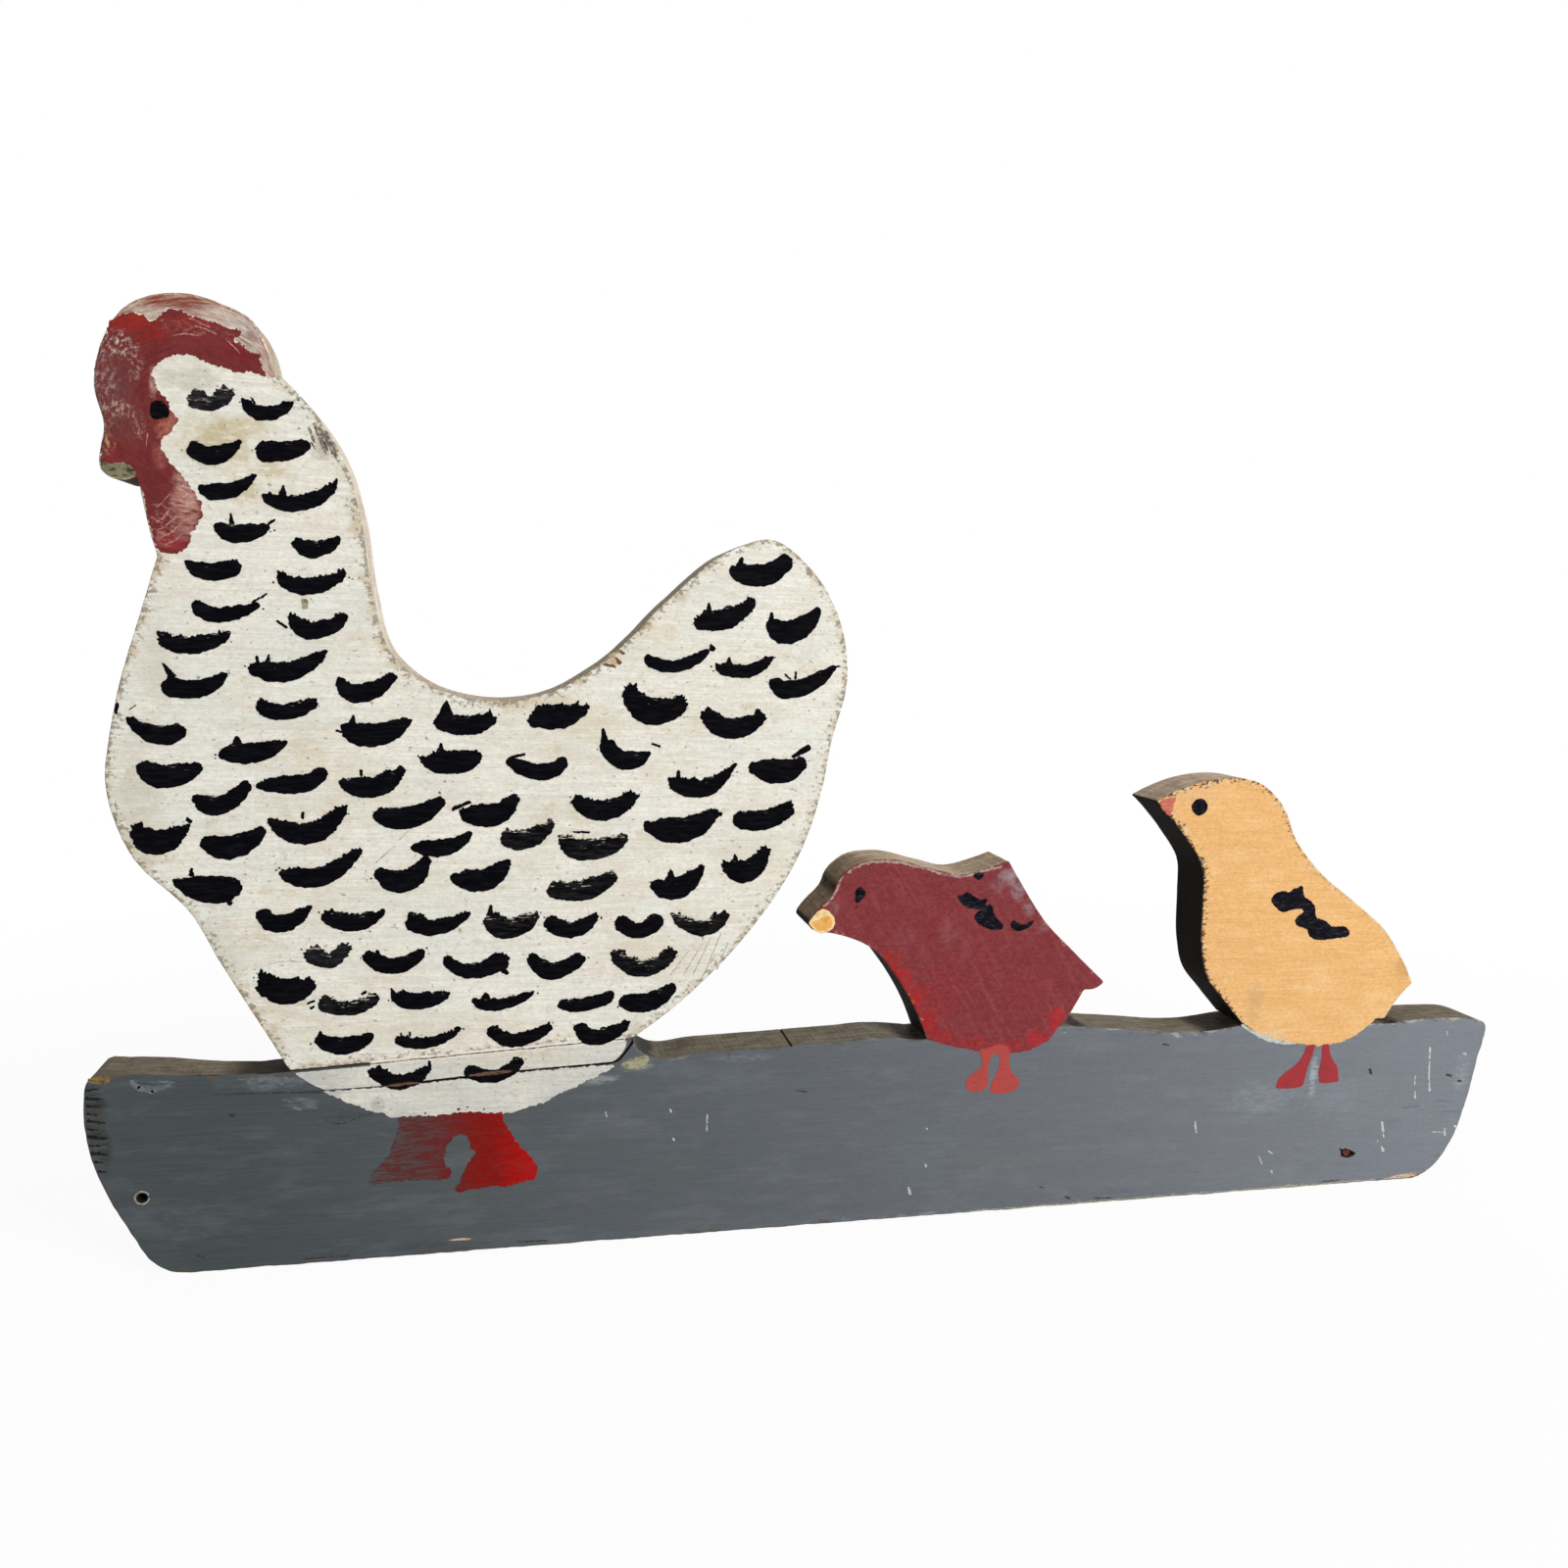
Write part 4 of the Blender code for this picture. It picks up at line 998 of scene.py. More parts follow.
# wrought nail, rusted through: no metal shine is left, only brown scale with a redder middle
rust = plainMaterial("wrought iron, rusted", "#8A5440", "#33190F", 0.85, 0.2, 0.2,
                     (1.2, 1.2, 0.9), 0.35, 0.65)
combRed = combPaint("dark comb red, rubbed chalky", {
    "paint": "#7A2F2E", "dark": "#551E1F", "second": "#8C4040",
    "lineFrom": 0.4, "lineSpan": 0.22, "lineShare": 0.6, "secondShare": 0.45,
    "fleckSizes": (1.9, 2, 1.2), "fleckFrom": 0.5,
    "spots": [(-283, 344, 8, 4.5, "#A02A1D", 0.95), (-276, 342, 7, 5, "#98261C", 0.85),
              (-262, 346.5, 14, 2.6, "#97332B", 0.8), (-247, 338, 8, 6, "#7A1A22", 0.9),
              (-258, 341, 12, 3, "#8E3336", 0.6), (-262, 338, 12, 3.4, "#7C2E33", 0.7),
              (-287, 322, 8, 19, "#6C4344", 0.95), (-283, 312, 7, 10, "#6F3F3E", 0.7),
              (-266.6, 285, 5, 15, "#C59388", 1.0), (-264.5, 283, 3, 9, "#CC9F94", 0.9),
              (-271.5, 309.6, 4.6, 4.6, "#B8705F", 1.0), (-269.5, 313, 2, 4, "#C98A78", 0.8),
              (-273.5, 301, 3, 6, "#AC655C", 0.8), (-276.5, 287, 3.4, 15, "#642427", 0.8),
              (-270.5, 271.5, 6, 3.4, "#A2393F", 0.95), (-289, 301, 5, 3.4, "#7C2426", 0.9),
              (-275.4, 325, 1.6, 6, "#D2A79B", 0.8)],
    # the palest specks, on the face's upper left, are painted reflection of light off the glossy, bumpy red
    "specks": [(-286.6, 337, 6, 5, "#D6C0B9", 0.95), (-281, 331, 3, 7, "#B3948E", 0.8),
               (-290, 323, 5, 17, "#A58985", 0.75), (-286, 315.4, 5, 3.4, "#C2A598", 0.85),
               (-280, 310, 3, 6, "#A9756C", 0.7), (-290, 304, 3.4, 5, "#B59A76", 0.8),
               (-274, 277, 7, 8, "#B4827A", 0.75), (-266, 291, 3, 9, "#D2B0A6", 0.8),
               (-262, 344, 14, 3, "#A9675F", 0.6), (-246, 341, 7, 4, "#9F5F5C", 0.6)]})
combRim = combPaint("comb edge, red rubbed to the white ground", {
    "paint": "#DACDC1", "dark": "#99685A", "second": "#AE9270",
    "lineFrom": 0.44, "lineSpan": 0.14, "lineShare": 0.8, "secondShare": 0.6,
    "fleckSizes": (6, 3, 0.75), "fleckFrom": 0.46,
    "spots": [(-268, 352, 19, 3.4, "#965A4D", 0.95), (-262, 353.6, 18, 1.6, "#9E8360", 0.85),
              (-287, 346, 5, 5, "#A8655A", 0.9), (-246, 347, 8, 2.4, "#B5ABA2", 0.8),
              (-238.4, 336, 2, 9, "#C9B5A6", 0.8), (-272, 348.2, 5, 1.8, "#D2CDC4", 0.9),
              (-246, 344, 10, 8, "#DCD6CF", 0.9)],
    "specks": [(-268, 352, 22, 4, "#7E342C", 0.95), (-246, 343, 7, 7, "#8E6A62", 0.8),
               (-285, 347.6, 6, 3, "#8A3E36", 0.8), (-254, 350, 10, 3, "#E0D6CB", 0.8)]})
footRed = footPaint()
black = strokePaint("black stroke paint, full brush", {
    "paint": "#030307", "below": "#A9A398", "sheen": "#1B1B20", "sheenShare": 0.5,
    "push": 0.24, "gapFrom": 0.855})
dryBlack = strokePaint("black stroke paint, dry brush", {
    "paint": "#040408", "below": "#CFC9BB", "sheen": "#3C3A3A", "sheenShare": 0.42,
    "push": 0.24, "gapFrom": 0.775})
greyBlack = strokePaint("black stroke paint, rubbed grey", {
    "paint": "#141419", "below": "#A9A398", "sheen": "#3C3A3A", "sheenShare": 0.7,
    "push": 0.16, "gapFrom": 0.7})
# Small marks, each in one colour dragged over the coat below. Numbers: how much of that coat shows,
# roughness, and the size of the gaps in mm.
# Oil paint off a small brush: an even colour with a slight sheen, and a few gaps that let the eye see
# bristles.
blueBlack = brushedMark("blue-black wing paint", "#0B0C14", "#4A4751", 0.35, 0.55, (4, 5, 0.8), 0.03)
legRed = brushedMark("yellow chick's leg red", "#A0353A", "#7E3238", 0.5, 0.55, (3, 5, 0.9))
legPale = brushedMark("red chick's leg red", "#B24944", "#84484C", 0.6, 0.55, (3, 5, 0.9))
beakYellow = brushedMark("beak yellow", "#EBB064", "#BC8444", 0.5, 0.55, (3, 4, 0.8))
beakPale = brushedMark("beak yellow, thin over its ground", "#F0D6A2", "#D9A560", 0.6, 0.55, (2, 3, 0.8))
beakRed = brushedMark("yellow chick's beak red", "#BD5D57", "#D8A878", 0.6, 0.6, (2.5, 3, 0.8))
# Red oil paint rubbed by hands: chalky, more ground than paint, so the eye reads years of handling.
combLine = brushedMark("comb red, dragged off the white", "#BC8C81", "#83403C", 1.0, 0.6, (1.3, 2, 1.3))
rimLine = brushedMark("comb red left along the arris", "#A8705F", "#CDBFB2", 0.8, 0.7, (1.6, 2, 1.6))
faceEdge = brushedMark("face edge, dark with handling", "#5A3A34", "#A08478", 0.8, 0.7, (1.6, 2, 1.8))
rubbedRed = brushedMark("barn red, rubbed pale at the top edge", "#A99A90", "#7F4245", 1.0, 0.7,
                        (2.4, 3, 1.4))
# Slate oil paint, dabbed on or scratched: dull and broken, over or under the darker coat.
paleDab = brushedMark("slate paint, dabbed pale", "#6C767D", "#50575B", 0.9, 0.65, (2.4, 3, 0.9))
primer = brushedMark("slate scratched to its pale ground", "#C2C6CA", "#8C929A", 0.9, 0.7, (1.2, 2, 1.4))
wornPaint = brushedMark("old pale paint under the yellow", "#C2C8C4", "#8A9196", 0.8, 0.7, (4, 4, 1.0))
# The cream where it was rubbed, scratched or chipped: dull specks and lines of dirt that got under it.
napeRub = brushedMark("nape rubbed grey, scratchy", "#62594F", "#BDB5A6", 1.0, 0.7, (1.2, 2, 1.8))
hairBrown = brushedMark("brown fleck in the cream", "#6B4A32", "#A58C6E", 0.5, 0.7, (2, 2, 0.8))
paleScratch = brushedMark("scratch through the cream, dirty", "#A9A08E", "#D8D2C4", 0.8, 0.7, (2, 2, 0.8))
seamDirt = brushedMark("cream rubbed tan", "#A58C6E", "#CDBFA6", 0.9, 0.75, (4, 4, 1.0))
seamBrown = brushedMark("brown dirt in the joint", "#5E3E2E", "#8F7560", 0.7, 0.8, (5, 4, 0.9))
# Dirt packed into saw lines and chips: dark and quite dull, so the eye reads a hollow.
oldDirt = brushedMark("old dirt in a small chip", "#393A3B", "#565A5E", 0.7, 0.8, (2.5, 3, 1.0))
darkDirt = brushedMark("black dirt in worn saw lines", "#191814", "#33322D", 0.8, 0.8, (2.5, 3, 1.0))
# Bare pine where the paint came off: rough, with brown or green dirt in its grain.
oliveBare = brushedMark("beak, bare and dirty olive", "#857F66", "#3C3825", 1.2, 0.7, (3, 4, 1.4))
ringWood = brushedMark("paint chipped off round the screw", "#A9A594", "#5E5A50", 0.8, 0.7, (1.3, 2, 1.3))
ochre = brushedMark("bare pine, dirty ochre", "#8A7045", "#54462F", 1.0, 0.75, (3, 4, 0.8))
rawPine = brushedMark("bare pine at the bottom edge", "#CFB999", "#8E5F42", 1.0, 0.75, (5, 4, 0.7))
splitWood = brushedMark("bare brown pine along the split", "#6A5040", "#3B2A22", 0.8, 0.75, (7, 4, 0.8))
greenDirt = brushedMark("pale wood, green with dirt", "#A6A288", "#6C6A52", 0.9, 0.75, (2, 4, 1.0))
print("materials ready:", len(bpy.data.materials))


# The four boards.

boardLooks = {    # lengths in mm: how far the saw strayed, and how far the arrises are worn round
    "hen": {"face": cream, "edge": henEdge, "outlineStep": 0.8, "sawWander": 0.18, "sawMarks": 1.0,
            "frontArris": 0.55, "backArris": 0.5, "seed": 3},
    "base_board": {"face": slate, "edge": baseEdge, "outlineStep": 0.9, "sawWander": 0.16, "sawMarks": 0.9,
                   "frontArris": 0.8, "backArris": 0.6, "seed": 11},
    "red_chick": {"face": barnRed, "edge": redEdge, "outlineStep": 0.7, "sawWander": 0.15, "sawMarks": 0.9,
                  "frontArris": 0.5, "backArris": 0.45, "seed": 19},
    "yellow_chick": {"face": straw, "edge": yellowEdge, "outlineStep": 0.7, "sawWander": 0.15,
                     "sawMarks": 0.9, "frontArris": 0.5, "backArris": 0.45, "seed": 27},
}
boards = {name: buildBoard(name, look) for name, look in boardLooks.items()}
print("boards sawn:", {name: len(made.data.polygons) for name, made in boards.items()})

dowelGap = 0.25    # mm round and beyond each dowel
for name, node in nodes.items():
    if "dowel" not in name:
        continue
    low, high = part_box(name)
    middle, radius = (low.x + high.x) / 2 / mm, (high.x - low.x) / 2 / mm
    bird = name.split("_dowel")[0]
    for owner in (bird, "base_board"):
        cutAway(boards[owner], upright(middle, low.z / mm - dowelGap, high.z / mm + dowelGap,
                                       radius + dowelGap))
    node.data.materials.clear()
    node.data.materials.append(birch)
print("dowel holes bored")

clearFront, clearBack, offFace = -13, 13, -11.4    # where cutters start and end, in mm, off both faces
screwHole = {"x": -286.2, "z": 31.2, "radius": 1.5, "mouth": 2.15, "mouthDepth": 1.0}
bore, mouth = (circle(screwHole["x"], screwHole["z"], screwHole[key]) for key in ("radius", "mouth"))
nailPocket = {"middle": (234.4, 15.4), "floorShare": 0.72, "depth": 1.7,
              "outline": [(229.2, 18.6), (231.5, 17.6), (233, 18.2), (235.5, 17.2), (237.5, 16.3),
                          (239.6, 14.9), (238, 13.7), (235, 12.8), (233, 13.2), (230.6, 14.0), (230.3, 16.4)]}
share = nailPocket["floorShare"]
pocketFloor = [[at * share + middle * (1 - share) for at, middle in zip(point, nailPocket["middle"])]
               for point in nailPocket["outline"]]
# the split along the grain under the hen: its middle line, and its width at each point of that line
splitLine = [(-241, 69.2), (-222, 69.6), (-205, 70.0), (-195, 70.6), (-185, 71.3), (-171, 72.4), (-160, 73.2),
             (-149, 74.0), (-138, 74.5), (-127, 75.0), (-115, 75.6), (-111.4, 76.6), (-109, 79.4),
             (-106.6, 83.0), (-104.6, 86.5)]
splitWidth = [0.1, 0.25, 0.4, 0.65, 0.9, 0.95, 0.8, 0.75, 0.7, 0.75, 0.85, 0.9, 0.9, 1.0, 1.6]
sawNick = [(-40.6, 79.2), (-39.8, 79.2), (-39.6, 84), (-40.9, 84)]    # the saw slipped across the top edge
for cutter in (prism(bore, clearFront, clearBack),
               prism(bore, offFace, faceY + screwHole["mouthDepth"], mouth),
               prism(pocketFloor, offFace, faceY + nailPocket["depth"], nailPocket["outline"]),
               prism(ribbon(splitLine, splitWidth), clearFront, clearBack),
               prism(sawNick, clearFront, clearBack)):
    cutAway(boards["base_board"], cutter)
print("screw hole, nail pocket, split and saw nick cut")

# where a board's face counts as laid bare by a cutter, in mm
bareAt = {
    "holeReach": 2.95,    # round the screw hole, short of both faces of the board
    "holeDepth": 10.79,
    "pocketLow": (229, -10.75, 12),
    "pocketHigh": (240, -8, 19),
    "belowPaint": 1.0,    # paint doesn't reach deeper than this
}
for name, made in boards.items():
    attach(made, "root")
    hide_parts(name)
    bare = made.data.materials.find(bareHole.name)
    for face in made.data.polygons:
        x, y, z = face.center / mm
        inHole = (math.hypot(x - screwHole["x"], z - screwHole["z"]) < bareAt["holeReach"]
                  and abs(y) < bareAt["holeDepth"])
        inPocket = all(low < at < high for low, at, high in
                       zip(bareAt["pocketLow"], (x, y, z), bareAt["pocketHigh"]))
        cutOpen = face.material_index == 0 and y > faceY + bareAt["belowPaint"]
        if cutOpen or (name == "base_board" and (inHole or inPocket)):
            face.material_index = bare


# The hen's brush strokes, read off her face one by one: left end, lowest point of the bottom edge,
# right end, top edge's dip, heights of both ends, then d for a dry brush or g for rubbed grey.
henStrokes = """
-263.4 320.4 -258.6 316.8 -251 322.6 321.6 7.5 5.5 g
-247 320.5 -241.5 315 -230.5 321.6 320 3.5 1.8
-264.3 303.5 -258 298.7 -248 307.2 305 5.5 1.5
-242 304.5 -237 301.6 -226 307.6 308.4 7 4.5
-261 290 -256.5 286.8 -243.5 295.5 292.3 3.5 1.8
-240.8 288.8 -232 284.4 -217 293.3 290.2 3 3
-256.5 277.3 -250.5 272.6 -239.3 278.4 279 4 3
-231 273.5 -225.5 268.7 -215.8 275 274.6 4 3.5
-267 265 -259 258.9 -249.5 263.6 265 1.5 6
-236 260.7 -228 255.4 -213.5 263.6 261.5 4.5 2.5
-264 249.3 -257.5 244.4 -243 251 249.7 5 2
-232.3 245.7 -226 239.5 -213 247.8 245.7 5 3.5
-275 237.5 -267 233 -253 239.8 239 5.5 2.5
-246 228.3 -237 224 -221 234.3 231 4.5 3
-274 221 -266 217.2 -254 225.5 223.8 7 3
-216.5 224 -210.5 217.2 -197 226.6 224 4 4
-243 214.5 -237 210.2 -224 216.7 216.2 6 4
-182 210.5 -172 206.2 -160.5 212.6 213.6 5 3.5
-286 208.5 -275 200.4 -268.5 205.6 207 3 5.5
-256.5 197.5 -249 194.2 -234 202.3 201.5 4 1.8
-283 191.8 -276 185 -263.5 192 193.3 6.5 5
-265.8 181.2 -258.5 175.2 -247 186 182.2 3.5 4
-244.3 186 -231 183.5 -221 190.8 190.2 2.5 5
-215.3 187 -206 182 -193.5 192.3 189.8 4 4
-186.5 195.5 -176 191.3 -167 197.3 200.3 4 6.5
-285.5 168.5 -279 160.8 -268 170 169.8 6.5 3.5
-262.5 164.8 -255.5 159 -242 169.5 167.8 6 3.5
-239 171.5 -228 164.5 -214 177.8 172.4 5.5 3
-203.3 175.5 -195 170.2 -179.5 180.4 178.6 6 5
-272.5 150.5 -258 142.7 -251.5 148.8 153 3 8
-236.5 153.2 -227 148.3 -209.5 161.2 155.6 4 3.5
-203.3 153 -194.5 146 -184.3 158 154.8 5 4
-190.3 163.5 -181.5 159.8 -169 168.3 166.3 3 2.5
-244.5 138 -238 131.4 -226.5 140.6 138.2 5 2
-221.5 136.8 -211.5 131.5 -200.5 138.7 138 6 1.3
-191.5 134.5 -184 129.3 -170 137 135.3 7.5 2.8
-227.5 122.5 -220.5 117.4 -213.5 124.5 123 7 4.5 g
-207.3 121.3 -197.5 114.6 -186 122.8 120.8 5 3
-244.8 115 -236 103.8 -226 110.8 113.8 3 6
-223 103.5 -214 98.8 -203 105 104.4 6.5 4 d
-197 105 -189.5 100.2 -177.5 105.6 107 5 4
-147.5 212.5 -140 209 -126 217.8 218.4 6 2
-155.8 196.3 -143 189.4 -134 196.2 195.9 4 4.5
-120 202 -111.5 194 -102 200 201.2 7 2.5
-131.5 181.5 -120.5 173.9 -107.3 182.8 181.8 4 5
-172.5 176 -162.5 171.3 -152 182 180 6 4
-157 166.5 -151 162.4 -138.3 173 169.8 6.5 3 d
-136.3 165.8 -126.5 158.1 -110.8 166 166.5 3.5 5 d
-175.8 151.3 -166 146.2 -154.7 157.5 154.9 3.5 3.5
-139.5 146.3 -129.5 142 -114 151.8 149.8 6 5 d
-162.8 134.5 -156.5 127.4 -144 135.6 135.5 7 4 d
-140.3 133.2 -131.5 127.3 -121 135.4 133.8 6.5 3
-178.3 118.8 -168.5 112 -156 118.3 118 4.5 8
-146.8 118.7 -138 110.8 -126.3 118.8 117.8 4.5 5
-168 102.8 -160.5 98.8 -145 105.7 103.5 3 2
-135 100.3 -129 97.3 -114.5 103 102.8 3.5 5
-110.8 100.5 -103 96 -89.5 106 104 5.5 4.5
-114.5 119.5 -102.5 110.8 -90 120 117.6 5 5 d
-113 132.8 -105 126.6 -96.3 133.2 132.8 6.5 7
-90 134 -79 127.3 -70 134 133.5 5 5 d
-99.8 147.8 -92 142.2 -79.3 155 150.8 5 3
-70.8 155 -63 148.7 -53 162 157.8 5.5 3.5
-102.8 171.5 -91 165.1 -75 176.5 175.3 4.5 5
-93 188.5 -83 183.2 -69.5 194.5 190.5 6 2
-81.5 215.5 -71 206.7 -57.3 215 215 6.5 4
-112 223 -102 211.6 -89.3 219.4 221.8 7 7
-62 195.5 -50.5 189.3 -40 197 199.1 5 6
-72 271.5 -62 266.6 -49.5 276 275 6 7
-85.3 251.8 -78 248.8 -63.3 259.8 256.8 6 4
-56.5 251.5 -50 244.7 -36 258 254 6.5 3.5
-104.5 236.5 -95.5 232 -80.5 240.3 236.8 4.5 3
-77 234.5 -67.5 230.7 -54.5 239 236 3 2.5
-54.5 228.5 -48.5 223.3 -29 236 230.6 5.5 3
-67 174.5 -59 170 -44.5 178.5 178.2 7 6.5
-225 89.3 -216 83.7 -205 89.8 90.4 4.5 4
-196.3 88.3 -187 84.6 -173.5 90.8 89 3 2
-161.8 90.8 -152 83.8 -138.5 91.3 89.5 4.5 3.5
-128.3 90.3 -121.5 83.2 -108.3 90.8 89.9 5 4.5
-214.3 206.8 -206 201 -191.5 210.5 209.9 6 3.5
"""
baseStrokes = """
-205 76 -194.5 68.7 -184.3 75.8 74.6 5.5 4
-170 74.5 -161 69.6 -149.3 77.3 74.8 5.5 4.5
"""
# fine ticks and horns of the same paint: from, to, width at both ends
henTicks = """
-243 320.5 -244.5 323 1 .4
-234.3 290.5 -234.3 293.6 3 .5
-217.5 294 -216.2 297 1.5 1
-251.3 279 -251.5 282.7 2 .5
-239.3 279.8 -237 281.5 1 .8
-245 252 -240 255.3 .8 .8
-237 246 -233.5 243.5 1 1
-232.5 247 -232.3 249.3 1.5 .6
-243.5 230 -243.8 233.3 1.5 .6
-240 231 -239.7 234 1.5 .6
-271.5 224.5 -274.5 229.5 3 .7
-178.5 212 -178.4 218.8 7 1
-250.8 200 -250.8 204.2 5 1
-208.5 190 -208.5 192.7 1 1
-180.4 199 -180.1 203 3 .8
-268.3 174 -266.3 172.8 1.6 1.6
-229 174 -228.8 176.8 1.2 1
-267 153 -266.8 156 2 1
-254.5 143.5 -254 142 2 1.5
-210 161 -208.6 163 2 1.5
-203 121.5 -203 124.3 3 .8
-204 118 -203 116 2.5 2
-245.7 111 -243 107.3 1.5 1.5
-228 104 -225.3 105 1 1
-227 102 -225.5 102.8 1 1
-208.7 107 -206.8 108 1.2 1
-197 106.5 -198 109 2 .6
-130.5 218 -130 220.4 1.5 1
-155 198 -149.5 199.4 1.3 1
-119.5 204 -120.4 210 3.5 1
-101.5 204.3 -98 203.2 1 1
-176 178 -169.5 181 1.5 1.2
-131 169.5 -124.5 169.3 .8 .8
-161.8 136 -161.6 140.8 3 1
-157 115 -154.8 113.5 2 1.5
-163.2 103.5 -163.2 106.2 4 1.5
-75.5 134 -73.8 137 2 1.4
-92.5 150 -92.5 154.5 5 .8
-66.8 157.5 -66.8 160.6 3 .6
-76 177.3 -72.6 176.6 2 1.6
-69.5 195 -67.7 197.2 2 1.4
-90.8 190 -90.7 194 2.5 1
-60 216 -59.6 218.9 3 2
-45 200 -38 204.3 1.5 2.8
-69.5 273 -68.3 277.6 4 1
-80.5 255 -80.8 259.5 3 1
-55.8 253 -55.8 257 2.5 1.2
-80 242.5 -77.8 241.7 3 2
-72 236 -72 238.9 2.5 1
-47 231 -49.5 233 .8 .8
-45 231 -45 234.3 1.2 .5
-29 236.5 -27 237 .8 .8
-223.5 90.5 -223.5 93.3 2 .7
-194 89 -194.5 91.5 .8 .8
-191 89.5 -191.3 91.7 .8 .8
-184 77 -184 79.8 1.5 1
-211.5 209 -211.3 212.7 3 .8
-217.3 206.9 -215 206.3 .8 .8
"""


# films in mm; the specks are what a loaded brush flings off the ends of a stroke
strokeLook = {
    "stroke": {"top": 0.18, "ragged": 0.46, "grain": 2.6, "step": 0.36, "smoothRounds": 3},
    "tick": {"top": 0.15, "ragged": 0.3, "grain": 0.8, "step": 0.25, "smoothRounds": 3},
    "speck": {"top": 0.12, "ragged": 0.12, "grain": 0.5, "step": 0.15, "smoothRounds": 1},
    "wildness": (0.5, 0.8, 1.1, 1.6),    # how rough a full stroke's top edge came out
    "dryWildness": 1.7,
    "bristle": 0.5,
    "spikes": 1.5,
    "specks": (0, 0, 1, 2, 3),
    "speckOut": (0.6, 2.4),    # how far beyond the end, how far down to how far up, and the radius
    "speckUp": (-2, 2.6),
    "speckRadius": (0.16, 0.42),
}


def layFilms(name, bm, materials):
    # all films of one piece in one object
    made = newObject(name, bm, materials)
    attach(made, "root")


def paintStrokes(name, strokes, ticks):
    look = strokeLook
    bm = bmesh.new()
    for number, line in enumerate(strokes.strip().splitlines()):
        *ends, load = (line + " f").split()[:10]
        ends = list(map(float, ends))
        index = "fdg".index(load)    # full, dry or grey, as in the list of paints below
        flung = random.Random(number)
        wild = look["dryWildness"] if index else flung.choice(look["wildness"])
        addFilm(bm, strokeOutline(*ends), index, number, bristle=look["bristle"] * wild,
                spikes=look["spikes"] * wild, **look["stroke"])
        for _ in range(flung.choice(look["specks"])):
            end = flung.choice((0, 4))    # where the left and the right end stand in the line
            x = ends[end] + (1 if end else -1) * flung.uniform(*look["speckOut"])
            z = ends[end + 1] + flung.uniform(*look["speckUp"])
            spot = circle(x, z, flung.uniform(*look["speckRadius"]), 10)
            addFilm(bm, spot, index, flung.randrange(90), **look["speck"])
    for number, outline in enumerate(tickOutlines(ticks)):
        addFilm(bm, outline, 0, 200 + number, **look["tick"])
    layFilms(name, bm, [black, dryBlack, greyBlack])


paintStrokes("hen_feather_strokes", henStrokes, henTicks)
paintStrokes("base_feather_strokes", baseStrokes, "")


def paintMarks(name, marks):
    # marks: outline, material, height, raggedness, size of the ragged grain
    bm = bmesh.new()
    used = []
    for number, (outline, material, *film) in enumerate(marks):
        if material not in used:
            used.append(material)
        addFilm(bm, outline, used.index(material), 40 + number, *film)
    layFilms(name, bm, used)


def rough(points):
    # a brushed outline: only its sharpest turns stay corners
    return smoothLoop(points, 0.6, 70)


def edgeLine(start, end, wide):
    # a thin line just inside the hen's sawn edge
    return ribbon(edgeRun("hen", start, end, 0.75)[::2], wide, step=0.8, sway=0.15)


# Comb, face and wattle.

combOuter = [(-238.4, 329.6), (-240, 331.4), (-241, 334.5), (-241.6, 338), (-244, 337.2), (-246.2, 340),
             (-249.6, 341.4), (-247.2, 343.4), (-248, 346), (-251, 345), (-254, 346.4), (-259, 347.4),
             (-262, 348), (-266, 349.4), (-270, 350.4), (-272, 348), (-274, 346), (-276, 345.2),
             (-278, 347.2), (-280.6, 347.8), (-283.4, 347), (-286.4, 345.8), (-288.4, 343), (-289.4, 341)]

beakUnder = [(-292.6, 297.4), (-289, 297), (-286, 297.8), (-283, 296.6), (-281.6, 293)]
combInner = [(-270.5, 267.6), (-267, 269), (-264.6, 271.6), (-265, 275), (-262.5, 278), (-260.6, 281),
             (-261, 285), (-263, 289), (-266.4, 294), (-269.5, 297.6), (-272, 300.7), (-274, 303.6),
             (-273, 306.6), (-270.3, 309), (-267.3, 313.6), (-269.8, 315.4), (-270.6, 319), (-273.2, 322),
             (-274.4, 325), (-276, 328), (-274.3, 331), (-271.4, 333.6), (-268, 335), (-263, 335.4),
             (-260, 334), (-257, 332.5), (-253, 332), (-249.3, 330.7), (-245, 331.4), (-241, 330.4)]
combShape = (combOuter + edgeRun("hen", (-290.5, 340), (-293.5, 298.5), 0.7) + beakUnder
             + edgeRun("hen", (-280.5, 291), (-275.5, 268.4), 0.6) + combInner)
combBand = edgeRun("hen", (-289.5, 341.5), (-237.8, 327.6), 0.5) + combOuter
paintMarks("hen_comb_and_face", [
    (combBand, combRim, 0.05, 0.25, 1.6),
    (combShape, combRed, 0.09, 0.85, 1.0),
    (edgeRun("hen", (-293.4, 298.6), (-281, 291.2), 0.55)
     + [(-281.2, 295), (-283, 298.4), (-287, 299.4), (-291, 299)], oliveBare, 0.05, 0.2, 1.2),
    (edgeLine((-289.5, 341.5), (-237.8, 327.6), 0.5), rimLine, 0.07, 0.25, 0.8),
    (edgeLine((-290.5, 340), (-293.5, 298.5), 0.7), faceEdge, 0.11, 0.3, 0.8),
])
